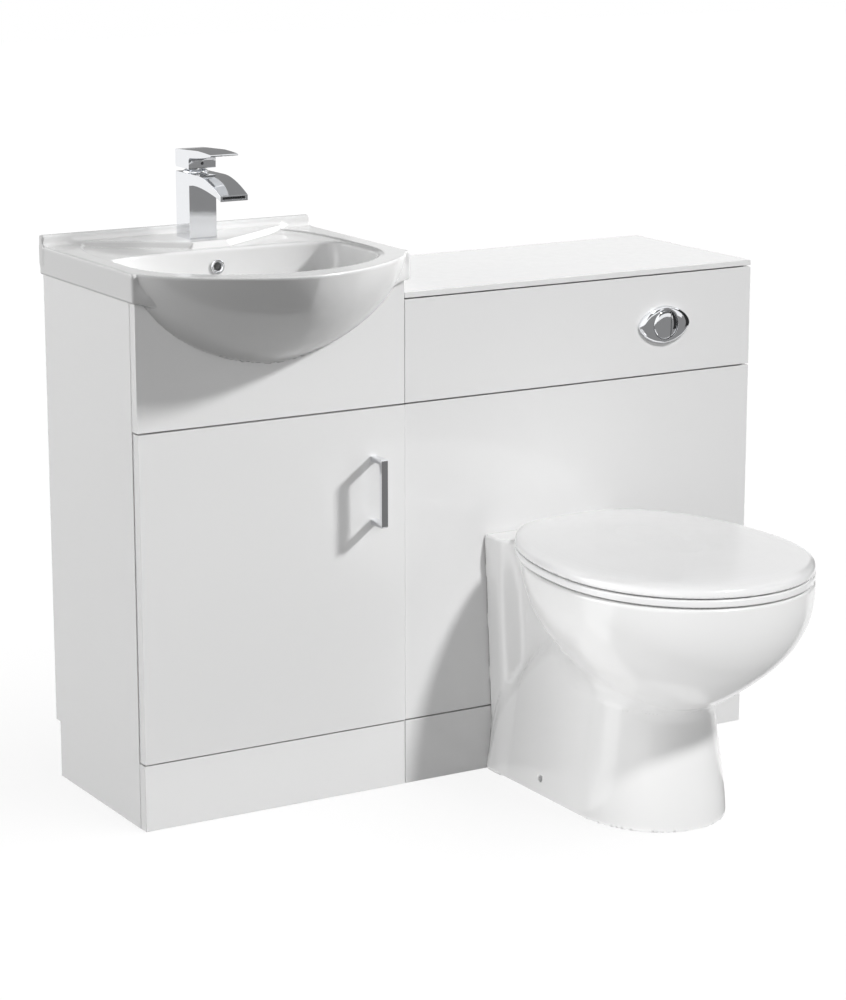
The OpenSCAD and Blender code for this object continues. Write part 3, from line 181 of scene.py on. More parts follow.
@dataclass(frozen=True)
class Finish:
    """One material: its colour, gloss and relief.

    Attributes:
        name: Name of the Blender material.
        colour: Linear base colour.
        rough: Lowest and highest roughness, between which it wanders. Both lie on one side
            of 0.27, where the renderer changes what it tells its denoiser.
        metallic: 0 or 1.
        coat: Weight of the clear coat.
        coat_rough: Roughness of that coat.
        grain: Kind of relief.
        grain_scale: Cells per metre of the relief.
        grain_depth: Depth of the relief in metres.
        tint: Share by which the colour wanders.
        tint_scale: Cells per metre of that wandering.
        subsurface: Weight of the light that the body scatters.
    """

    name: str
    colour: tuple[float, float, float]
    rough: tuple[float, float]
    metallic: float = 0.0
    coat: float = 0.0
    coat_rough: float = 0.05
    grain: Grain = Grain.MOULDED
    grain_scale: float = 900.0
    grain_depth: float = 0.00002
    tint: float = 0.02
    tint_scale: float = 14.0
    subsurface: float = 0.0

    SCATTER = (0.004, 0.004, 0.004)
    LENGTHWAYS = (1.0, 1.0, 0.04)
    HAIRLINE_TURN = (0.2, 0.35, 0.1)

    def build(self) -> bpy.types.Material:
        """Makes the node material.

        Returns:
            The material.
        """
        mat = bpy.data.materials.new(self.name)
        mat.diffuse_color = (*self.colour, 1.0)
        tree = bare_tree(mat)
        place = tree.nodes.new("ShaderNodeTexCoord").outputs["Object"]
        dark, light = (tuple(min(1.0, c * k) for c in self.colour) + (1.0,)
                       for k in (1.0 - self.tint, 1.0 + self.tint))
        tone = mixed(tree, self._noise(tree, place, self.tint_scale, 3.0), dark, light)
        height, wander = self._relief(tree, place)
        low, high = self.rough
        spread = wire(tree, "MapRange", To_Min=low, To_Max=high, Value=wander)
        bump = wire(tree, "Bump", Distance=self.grain_depth, Height=height).outputs["Normal"]
        skin = wire(tree, "BsdfPrincipled", Base_Color=tone, Normal=bump,
                    Metallic=self.metallic, Roughness=spread.outputs["Result"],
                    Coat_Weight=self.coat, Coat_Roughness=self.coat_rough,
                    Subsurface_Weight=self.subsurface, Subsurface_Radius=self.SCATTER)
        if self.coat > 0:
            tree.links.new(bump, skin.inputs["Coat Normal"])
        wire(tree, "OutputMaterial", Surface=skin.outputs["BSDF"])
        return mat

    def _relief(self, tree: bpy.types.NodeTree, place: bpy.types.NodeSocket,
                ) -> tuple[bpy.types.NodeSocket, bpy.types.NodeSocket]:
        """The height and the roughness pattern of this grain.

        Args:
            tree: The material's tree.
            place: Socket with the place on the piece.

        Returns:
            The height socket and the roughness pattern's socket.
        """
        fine = self._noise(tree, place, self.grain_scale, 2.0)
        if self.grain is Grain.ZINC:
            cells = wire(tree, "TexVoronoi", Scale=self.grain_scale, Vector=place)
            return cells.outputs["Distance"], cells.outputs["Color"]
        if self.grain is Grain.POLISH:
            drawn = wire(tree, "Mapping", Scale=self.LENGTHWAYS, Rotation=self.HAIRLINE_TURN,
                         Vector=place).outputs["Vector"]
            return fine, self._noise(tree, drawn, self.grain_scale, 4.0)
        if self.grain is Grain.GLAZE:
            return fine, self._noise(tree, place, self.tint_scale * 3.0, 2.0)
        return fine, self._noise(tree, place, self.grain_scale * 0.2, 3.0)

    @staticmethod
    def _noise(tree: bpy.types.NodeTree, place: bpy.types.NodeSocket, scale: float,
               detail: float) -> bpy.types.NodeSocket:
        """A noise pattern's factor socket."""
        return wire(tree, "TexNoise", Scale=scale, Detail=detail, Vector=place).outputs["Fac"]


class Shades:
    """The finishes of the unit by material slot."""

    def __init__(self) -> None:
        """Builds every finish once."""
        recipes = {
            "board_gloss": Finish(
                "gloss_board", (0.80, 0.80, 0.80), rough=(0.19, 0.26), coat=1.0,
                coat_rough=0.03, grain=Grain.ORANGE_PEEL, grain_scale=420.0,
                grain_depth=0.000012, tint=0.006, tint_scale=5.0),
            "ceramic": Finish(
                "glazed_ceramic", (0.77, 0.77, 0.768), rough=(0.18, 0.26), coat=0.4,
                coat_rough=0.09, grain=Grain.GLAZE, grain_scale=55.0, grain_depth=0.00004,
                tint=0.006, tint_scale=9.0),
            "chrome": Finish(
                "polished_chrome", (0.83, 0.84, 0.86), metallic=1.0, rough=(0.03, 0.08),
                grain=Grain.POLISH, grain_scale=260.0, grain_depth=0.000004, tint=0.015,
                tint_scale=60.0),
            "steel": Finish(
                "zinc_steel", (0.55, 0.56, 0.57), metallic=1.0, rough=(0.28, 0.46),
                grain=Grain.ZINC, grain_scale=420.0, grain_depth=0.000015, tint=0.10,
                tint_scale=160.0),
            "seat_plastic": Finish(
                "seat_plastic", (0.79, 0.79, 0.792), rough=(0.19, 0.26), coat=0.4,
                coat_rough=0.05, grain=Grain.ORANGE_PEEL, grain_scale=240.0,
                grain_depth=0.00001, tint=0.005, tint_scale=8.0),
            "white_plastic": Finish(
                "white_moulding", (0.78, 0.78, 0.77), rough=(0.32, 0.44), grain_depth=0.00003,
                tint=0.012, tint_scale=20.0),
            "buffer_plastic": Finish(
                "clear_buffer", (0.74, 0.74, 0.73), rough=(0.34, 0.46), tint_scale=90.0,
                subsurface=0.2),
            "black_plastic": Finish(
                "black_moulding", (0.018, 0.018, 0.02), rough=(0.36, 0.5), tint=0.08,
                tint_scale=60.0, grain_depth=0.00004),
            "cistern_plastic": Finish(
                "cistern_moulding", (0.60, 0.61, 0.63), rough=(0.38, 0.52), tint_scale=16.0,
                grain_depth=0.00006, grain_scale=700.0),
            "valve_plastic": Finish(
                "valve_moulding", (0.17, 0.27, 0.40), rough=(0.34, 0.46), tint=0.04,
                tint_scale=40.0, grain_depth=0.00003),
            "rubber": Finish(
                "seal_rubber", (0.02, 0.02, 0.02), rough=(0.6, 0.8), grain=Grain.RUBBER,
                tint=0.15, tint_scale=120.0, grain_depth=0.00005),
        }
        self.by_slot = {slot: recipe.build() for slot, recipe in recipes.items()}

    def wear(self, piece: bpy.types.Object, slot: str) -> None:
        """Gives a piece the finish of a slot.

        Args:
            piece: The piece.
            slot: The record's slot.
        """
        piece.data.materials.clear()
        piece.data.materials.append(self.by_slot[slot])


# ---------------- casting tools


def trim(a: Cloud, b: Cloud, radius: Cloud | float = 0.0) -> Cloud:
    """The part common to two solids, with an edge of that radius."""
    return np.minimum(np.maximum(a, b), -radius) + np.hypot(
        np.maximum(a + radius, 0), np.maximum(b + radius, 0))


def fuse(a: Cloud, b: Cloud, radius: Cloud | float = 0.0) -> Cloud:
    """Two solids as one, with a fillet of that radius between them."""
    return -trim(-a, -b, radius)


def carve(a: Cloud, b: Cloud, radius: float = 0.0) -> Cloud:
    """Solid a without solid b, with an edge of that radius."""
    return trim(a, -b, radius)


def ease(t: Cloud) -> Cloud:
    """Runs from 0 to 1 with level ends."""
    t = np.clip(t, 0, 1)
    return t * t * (3 - 2 * t)


def gauge(p: Cloud, cx: float, cy: Cloud | float, half: Cloud | float, front: Cloud | float,
          back: Cloud | float, nf: float, nb: Cloud | float) -> Cloud:
    """How far out a point lies on an oval plan, where the outline itself is 1.

    Args:
        p: Points.
        cx: The oval's middle across.
        cy: The oval's middle from front to back.
        half: Half its width.
        front: Its reach to the front.
        back: Its reach to the back.
        nf: How square its front is, from 2 for an ellipse.
        nb: How square its back is.

    Returns:
        The share of the way to the outline.
    """
    dy = p[:, 1] - cy
    ahead = dy < 0
    n = np.where(ahead, nf, nb)
    across = np.abs(p[:, 0] - cx) / half
    along = np.abs(dy) / np.where(ahead, front, back)
    return (across ** n + along ** n) ** (1 / n)


def evened(raw: Solid, p: Cloud, reach: float = 0.05) -> Cloud:
    """A raw field as a distance in millimetres near its surface.

    Args:
        raw: The raw field.
        p: Points.
        reach: Length over which the field's slope is taken.

    Returns:
        The distances.
    """
    value = raw(p)
    slope = np.zeros(len(p))
    for axis in range(3):
        q = p.copy()
        q[:, axis] += reach
        slope += ((raw(q) - value) / reach) ** 2
    return value / np.maximum(np.sqrt(slope), TINY)


def rounded(u: Cloud, v: Cloud, corner: float) -> Cloud:
    """Distance to a corner of that radius, from the distances past its two walls."""
    a, b = u + corner, v + corner
    return (np.hypot(np.maximum(a, 0), np.maximum(b, 0)) + np.minimum(np.maximum(a, b), 0)
            - corner)


def box(p: Cloud, low: Sequence[float], high: Sequence[float], corner: float = 0.0) -> Cloud:
    """A block between two corners.

    Args:
        p: Points.
        low: Its lowest corner.
        high: Its highest corner.
        corner: Radius of its upright edges.

    Returns:
        The field.
    """
    lo, hi = np.array(low, float), np.array(high, float)
    q = np.abs(p - (lo + hi) / 2) - (hi - lo) / 2
    return np.maximum(rounded(q[:, 0], q[:, 1], corner), q[:, 2])


def post(p: Cloud, axis: int, at: Sequence[float], radius: float, ends: tuple[float, float],
         ) -> Cloud:
    """A round bar along one axis.

    Args:
        p: Points.
        axis: 0, 1 or 2.
        at: Its middle on the other two axes, in their order.
        radius: Its radius.
        ends: Where it starts and stops.

    Returns:
        The field.
    """
    others = [i for i in range(3) if i != axis]
    side = np.hypot(p[:, others[0]] - at[0], p[:, others[1]] - at[1]) - radius
    middle, half = (ends[0] + ends[1]) / 2, (ends[1] - ends[0]) / 2
    return np.maximum(side, np.abs(p[:, axis] - middle) - half)


def pipe(p: Cloud, a: Sequence[float], b: Sequence[float], radius: float) -> Cloud:
    """A round-ended bar between two points.

    Args:
        p: Points.
        a: Its start.
        b: Its end.
        radius: Its radius.

    Returns:
        The field.
    """
    start, way = np.array(a, float), np.array(b, float) - np.array(a, float)
    t = np.clip((p - start) @ way / (way @ way), 0, 1)
    return np.linalg.norm(p - start - t[:, None] * way, axis=1) - radius


def flowing(rows: Sequence[Sequence[float]], soften: float) -> Curves:
    """Smooth curves through a table of sizes.

    Args:
        rows: Each a height and the sizes at that height.
        soften: Length over which corners of the curves are rounded.

    Returns:
        A function from heights to the list of sizes there.
    """
    table = np.array(sorted(rows), float)
    span = np.arange(table[0, 0] - 4 * soften, table[-1, 0] + 4 * soften, 1.0)
    near = np.arange(-3 * soften, 3 * soften + 1)
    bell = np.exp(-0.5 * (near / soften) ** 2)
    bell /= bell.sum()
    curves = []
    for column in range(1, table.shape[1]):
        line = np.interp(span, table[:, 0], table[:, column])
        first = np.gradient(line)
        pad = len(near) // 2
        wide = np.concatenate([line[0] - np.arange(pad, 0, -1) * first[0], line,
                               line[-1] + np.arange(1, pad + 1) * first[-1]])
        curves.append(np.convolve(wide, bell, "valid"))
    return lambda z: [np.interp(z, span, c) for c in curves]


class Casting:
    """A piece whose surfaces flow into each other, meshed from one solid field.

    No mesh operator draws a wall that swells, turns and fillets into its neighbours, so the
    wall is found where the field is nought, and its normals come from the field's slope.
    """

    ROUNDS = 5

    def __init__(self, name: str, solid: Solid, low: Sequence[float], high: Sequence[float],
                 step: float) -> None:
        """Meshes the solid.

        Args:
            name: The piece's name.
            solid: Its field, negative inside.
            low: Lowest corner of the room to search.
            high: Highest corner.
            step: Size of the mesh.
        """
        self.solid = solid
        points, quads = self._net(np.array(low, float), np.array(high, float), step)
        for _ in range(self.ROUNDS):
            value, slope = self._slope(points)
            length = np.maximum(np.linalg.norm(slope, axis=1), TINY)
            shift = np.clip(value / length, -step, step)
            points = points - slope / length[:, None] * shift[:, None]
        _, slope = self._slope(points)
        normals = slope / np.maximum(np.linalg.norm(slope, axis=1), TINY)[:, None]
        mesh = bpy.data.meshes.new(name)
        mesh.from_pydata(Draft.place(points).tolist(), [], quads.tolist())
        mesh.polygons.foreach_set("use_smooth", np.ones(len(mesh.polygons), bool))
        mesh.update()
        mesh.normals_split_custom_set_from_vertices(normals.tolist())
        self.piece = bpy.data.objects.new(name, mesh)
        bpy.context.scene.collection.objects.link(self.piece)

    def _slope(self, p: Cloud, reach: float = 0.1) -> tuple[Cloud, Cloud]:
        """The field and its slope.

        Args:
            p: Points.
            reach: How far to either side the slope is taken.

        Returns:
            The field's values and slopes there.
        """
        slope = np.zeros_like(p)
        for axis, step in enumerate(reach * np.eye(3)):
            slope[:, axis] = (self.solid(p + step) - self.solid(p - step)) / (2 * reach)
        return self.solid(p), slope

    def _net(self, low: Cloud, high: Cloud, step: float) -> tuple[Cloud, Cloud]:
        """A mesh of four-sided faces round the solid.

        Args:
            low: Lowest corner of the room.
            high: Highest corner.
            step: Cell size.

        Returns:
            Points and faces.
        """
        axes = [low[i] + step * np.arange(math.ceil((high[i] - low[i]) / step) + 1)
                for i in range(3)]
        shape = tuple(len(a) for a in axes)
        values = np.empty(shape)
        for i, x in enumerate(axes[0]):
            y, z = np.meshgrid(axes[1], axes[2], indexing="ij")
            sheet = np.stack([np.full(y.size, x), y.ravel(), z.ravel()], 1)
            values[i] = self.solid(sheet).reshape(shape[1:])
        inside = values < 0

        def corner(of: Cloud, c: Sequence[int]) -> Cloud:
            """Values at one corner of every cell."""
            return of[tuple(slice(k, n - 1 + k) for k, n in zip(c, shape))]

        corners = [(i, j, k) for i in (0, 1) for j in (0, 1) for k in (0, 1)]
        count = sum(corner(inside, c).astype(np.int8) for c in corners)
        active = (count > 0) & (count < 8)
        number = np.full(active.shape, -1)
        number[active] = np.arange(active.sum())
        total, hits = np.zeros((active.sum(), 3)), np.zeros(active.sum())
        for c in corners:
            for axis in range(3):
                if c[axis]:
                    continue
                far = tuple(v + (k == axis) for k, v in enumerate(c))
                near_value, far_value = corner(values, c)[active], corner(values, far)[active]
                cut = (near_value < 0) != (far_value < 0)
                t = near_value[cut] / (near_value[cut] - far_value[cut])
                spot = np.tile(np.array(c, float), (cut.sum(), 1))
                spot[:, axis] += t
                total[cut] += spot
                hits[cut] += 1
        points = low + step * (np.argwhere(active) + total / hits[:, None])
        faces = []
        for axis in range(3):
            b, c = (axis + 1) % 3, (axis + 2) % 3
            here = [slice(1, -1)] * 3
            here[axis] = slice(0, -1)
            there = list(here)
            there[axis] = slice(1, None)
            lower, upper = inside[tuple(here)], inside[tuple(there)]
            where = np.argwhere(lower != upper)
            where[:, b] += 1
            where[:, c] += 1
            eb, ec = np.eye(3, dtype=int)[b], np.eye(3, dtype=int)[c]
            ring = [number[tuple((where - s).T)] for s in (0 * eb, eb, eb + ec, ec)]
            quad = np.stack(ring, 1)
            turned = ~lower[lower != upper]
            quad[turned] = quad[turned][:, ::-1]
            faces.append(quad)
        return points, np.concatenate(faces)


# ---------------- ceramics


@dataclass
class Basin:
    """The semi-recessed basin: a slab with upstand, a round bowl and a raised tap ledge."""

    cx: float = 225.0
    width: float = 464.0
    front: float = -8.0
    back: float = 325.0
    deck: float = 843.0
    rim: float = 845.0
    underside: float = 802.0
    upstand_t: float = 13.0
    upstand_top: float = 863.0
    hollow_front: float = 8.0
    hollow_back: float = 313.0
    hollow_top: float = 831.0
    side_wall: float = 14.0
    bowl_half: float = 195.0
    bowl_out: float = 223.0
    bowl_below: float = 204.0
    outer_depth: float = 165.0
    inner_depth: float = 143.4
    fascia_y: float = -0.35
    fascia_back: float = 17.4
    waste_y: float = 75.0
    waste_seat: float = 33.0
    waste_hole: float = 23.0
    waste_boss: float = 38.0
    tap_y: float = 250.0
    tap_hole: float = 17.5
    tap_boss: float = 36.0
    overflow_z: float = 814.0
    overflow_hole: float = 8.4
    mesh: float = 3.0

    def outer(self, half: float) -> Solid:
        """The bowl's outside.

        Args:
            half: Half its width at the rim.

        Returns:
            Its raw field.
        """

        def raw(p: Cloud) -> Cloud:
            """Raw field."""
            d = self.rim - p[:, 2]
            deep = np.clip(d, 0, self.outer_depth)
            f = gauge(p, self.cx, 20 + 0.35 * deep, half, 167.0, 190.0, 1.6,
                      5 - 2.6 * deep / self.outer_depth)
            return np.sqrt(f ** 2 + (np.maximum(d - 1, 0) / self.outer_depth) ** 2) - 1

        return raw

    def inner(self, p: Cloud) -> Cloud:
        """Raw field of the water's room.

        Args:
            p: Points.

        Returns:
            The field.
        """
        d = np.maximum(self.rim - p[:, 2], 0)
        square = 5 - 2.4 * np.minimum(d, 148) / 148
        f = gauge(p, self.cx, 70 + 0.03 * d, self.bowl_half, 170.0, 112.0, 2.05, square)
        q = 2.1
        return (f ** q + (np.maximum(d - 5, 0) / self.inner_depth) ** q) ** (1 / q) - 1

    def deck_height(self, p: Cloud) -> Cloud:
        """Height of the deck: a border all round, a sunken middle and the tap's ledge.

        Args:
            p: Points.

        Returns:
            The heights over them.
        """
        side, y = np.abs(p[:, 0] - self.cx), p[:, 1]
        border = 1 - gauge(p, self.cx, 70.0, 203.0, 186.0, 275.0, 2.05, 4.0)
        sunk = 2.2 * ease(border / 0.022) + 2.4 * ease(border / 0.17)
        height = self.rim + 0.5 - sunk * ease((y + 50.0) / 90.0)
        spread = 38.0 + 1.45 * np.maximum(y - 205.0, 0)
        ledge = ease(np.minimum((spread - side) / 13.0, (y - 198.0) / 10.0))
        return height + (self.deck + 7.5 - height) * ledge

    def shell(self, p: Cloud) -> Cloud:
        """Slab, bowl and upstand before any hole is cut.

        Args:
            p: Points.

        Returns:
            The field.
        """
        x, y, z = p[:, 0], p[:, 1], p[:, 2]
        edge = self.width / 2
        left, right = self.cx - edge, self.cx + edge
        slab = box(p, (left, self.front, self.underside), (right, self.back, 1000), 5)
        slab = trim(slab, self.underside - z, 1.5)
        bowl, snug, hole = (evened(self.outer(half), p)
                            for half in (self.bowl_out, self.bowl_below, edge))
        ahead = fuse(slab, bowl, 5.0 + 23.0 * ease((self.rim - z) / 46.0))
        ahead = trim(fuse(ahead, np.maximum(hole, self.fascia_y - y), 7.0), y - self.fascia_y)
        room = box(p, (left + self.side_wall, self.hollow_front, 0),
                   (right - self.side_wall, self.hollow_back, self.hollow_top), 8)
        behind = np.minimum(np.maximum(slab, -room), np.maximum(hole, y - self.fascia_back))
        body = np.minimum(ahead, np.minimum(behind, snug))
        body = trim(body, z - self.deck_height(p), 4.0)
        wall = box(p, (left, self.back - self.upstand_t, 820),
                   (right, self.back, self.upstand_top), 2)
        body = fuse(body, trim(wall, z - self.upstand_top, 3.5), 7.0)
        body = trim(body, np.abs(x - self.cx) - edge, 2.5)
        return trim(body, y - self.back, 1.0)

    def solid(self, p: Cloud) -> Cloud:
        """The basin's field.

        Args:
            p: Points.

        Returns:
            The field.
        """
        waste, tap = (self.cx, self.waste_y), (self.cx, self.tap_y)
        body = np.minimum(self.shell(p), post(p, 2, waste, self.waste_boss, (676, 697)))
        body = np.minimum(body, post(p, 2, tap, self.tap_boss, (825, 839)))
        body = carve(body, evened(self.inner, p), 5.0)
        body = carve(body, post(p, 2, waste, self.waste_seat, (694, 712)), 1.0)
        body = carve(body, post(p, 2, waste, self.waste_hole, (600, 712)), 0.6)
        body = carve(body, post(p, 2, tap, self.tap_hole, (800, 900)), 0.6)
        overflow = post(p, 1, (self.cx, self.overflow_z), self.overflow_hole, (120, 212))
        return carve(body, overflow, 0.5)

    def build(self, shades: Shades) -> bpy.types.Object:
        """Makes the basin and sets it in place of its CAD node.

        Args:
            shades: The finishes.

        Returns:
            The piece.
        """
        piece = Casting("basin_casting", self.solid, (-10, -150, 673), (460, 328, 866),
                        self.mesh).piece
        return settle(piece, "base", "ceramic", shades, "basin")


@dataclass
class Pan:
    """The back-to-wall pan: oval bowl, tapering foot, neck and the block at the wall."""

    TRAPWAY = ((-322, 222), (-285, 162), (-236, 162), (-182, 240), (-128, 240), (-92, 185),
               (70, 185))

    cx: float = 717.0
    cy: float = -336.0
    height: float = 386.5
    bowl_depth: float = 203.0
    well_depth: float = 184.0
    heel_corner: float = 22.0
    neck_front: float = -300.0
    neck_back: float = -20.0
    neck_low: float = 40.0
    trapway_hole: float = 40.0
    soil_z: float = 185.0
    soil_out: float = 51.0
    inlet_z: float = 335.0
    inlet_hole: float = 27.0
    screw_x: float = 110.0
    screw_at: tuple[float, float] = (-155.0, 26.0)
    screw_hole: float = 4.4
    hinge_x: float = 77.5
    hinge_y: float = -66.0
    hinge_hole: float = 5.5
    mesh: float = 4.0
    bowl: Curves = field(default_factory=lambda: flowing([
        (-30, 199, 227, 268, 0), (0, 199, 228, 268, 0), (22, 199, 228.6, 258, 0),
        (44, 196.5, 226.5, 246, 0), (70, 188, 220, 232, 1), (98, 172, 207, 214, 3),
        (126, 149, 187, 192, 7), (152, 122, 161, 168, 12), (174, 98, 136, 146, 18),
        (192, 80, 112, 120, 24), (206, 62, 86, 90, 30)], 9))
    foot: Curves = field(default_factory=lambda: flowing([
        (0, 117.5, 412.5), (40, 115, 408), (90, 109, 400), (140, 102, 392), (190, 96, 386),
        (250, 93, 384), (300, 91, 383)], 14))
    heel: Curves = field(default_factory=lambda: flowing([
        (0, 106, 52), (60, 108, 52), (180, 113.5, 52), (300, 119, 52), (382.5, 123.6, 54),
        (400, 124.2, 54)], 12))
    neck: Curves = field(default_factory=lambda: flowing([
        (40, 86), (150, 84), (230, 86), (300, 92), (350, 101), (382.5, 111), (400, 114)], 14))
    well: Curves = field(default_factory=lambda: flowing([
        (0, 126, 197, 131, 0), (14, 137, 208, 141, 0), (30, 136, 207, 140, 0),
        (34, 125, 196, 131, 0), (52, 121, 191, 128, 0), (84, 114, 178, 124, 4),
        (118, 100, 150, 114, 12), (150, 78, 112, 92, 22), (176, 54, 76, 62, 30),
        (184, 42, 60, 50, 34)], 3))
    curve: Curves = field(default_factory=lambda: flowing([
        (-420, 250), (-300, 248), (-240, 244), (-190, 240), (-148, 229), (-118, 212),
        (-92, 190), (-70, 166), (-50, 138), (-33, 108), (-20, 78), (-9, 40), (4, -10)], 7))

    def bowl_raw(self, p: Cloud) -> Cloud:
        """Raw field of the bowl's outside."""
        half, front, back, shift = self.bowl(np.clip(self.height - p[:, 2], -20, 206))
        return gauge(p, self.cx, self.cy + shift, half, front, back, 2.05, 2.2) - 1

    def foot_raw(self, p: Cloud) -> Cloud:
        """Raw field of the foot's plan."""
        half, front = self.foot(p[:, 2])
        return gauge(p, self.cx, -272.0, half, front - 272, 300.0, 2.0, 14.0) - 1

    def well_raw(self, p: Cloud) -> Cloud:
        """Raw field of the water's room."""
        half, front, back, shift = self.well(np.clip(self.height - p[:, 2], 0, self.well_depth))
        return gauge(p, self.cx, self.cy + shift, half, front, back, 2.1, 2.6) - 1

    def shell(self, p: Cloud) -> Cloud:
        """Bowl, foot, neck and wall block before any hole is cut.

        Args:
            p: Points.

        Returns:
            The field.
        """
        x, y, z = p[:, 0], p[:, 1], p[:, 2]
        bowl = trim(evened(self.bowl_raw, p), (self.height - self.bowl_depth) - z, 12)
        rise = evened(lambda q: (q[:, 2] - self.curve(q[:, 1])[0]) * 0.5, p)
        foot = trim(evened(self.foot_raw, p), rise, 12)
        half, deep = self.heel(z)
        heel = rounded(np.abs(x - self.cx) - half, np.abs(y) - deep, self.heel_corner)
        neck = trim(np.abs(x - self.cx) - self.neck(z)[0], self.neck_front - y, 70)
        neck = np.maximum(neck, np.maximum(y - self.neck_back, self.neck_low - z))
        body = fuse(fuse(heel, neck, 20), foot, 26)
        body = np.maximum(fuse(body, bowl, 26), y)
        body = trim(trim(body, z - self.height, 5), -z, 2)
        return np.minimum(body, post(p, 1, (self.cx, self.soil_z), self.soil_out, (-20, 50)))

    def solid(self, p: Cloud) -> Cloud:
        """The pan's field.

        Args:
            p: Points.

        Returns:
            The field.
        """
        well = trim(evened(self.well_raw, p), (self.height - self.well_depth) - p[:, 2], 14)
        body = carve(self.shell(p), well, 7)
        for a, b in zip(self.TRAPWAY, self.TRAPWAY[1:]):
            way = pipe(p, (self.cx, *a), (self.cx, *b), self.trapway_hole)
            body = carve(body, way, 1.5)
        body = carve(body, post(p, 1, (self.cx, self.inlet_z), self.inlet_hole, (-70, 5)), 1.0)
        for side in (-1, 1):
            edge = self.cx + side * self.screw_x
            screw = post(p, 0, self.screw_at, self.screw_hole, (edge - 40, edge + 40))
            hinge = (self.cx + side * self.hinge_x, self.hinge_y)
            body = carve(body, screw, 0.6)
            body = carve(body, post(p, 2, hinge, self.hinge_hole, (330, 400)), 0.6)
        return body

    def build(self, shades: Shades) -> bpy.types.Object:
        """Makes the pan and sets it in place of its CAD node.

        Args:
            shades: The finishes.

        Returns:
            The piece.
        """
        piece = Casting("pan_casting", self.solid, (513, -569, -4), (921, 55, 391),
                        self.mesh).piece
        return settle(piece, "base", "ceramic", shades, "pan")


# ---------------- seat and lid


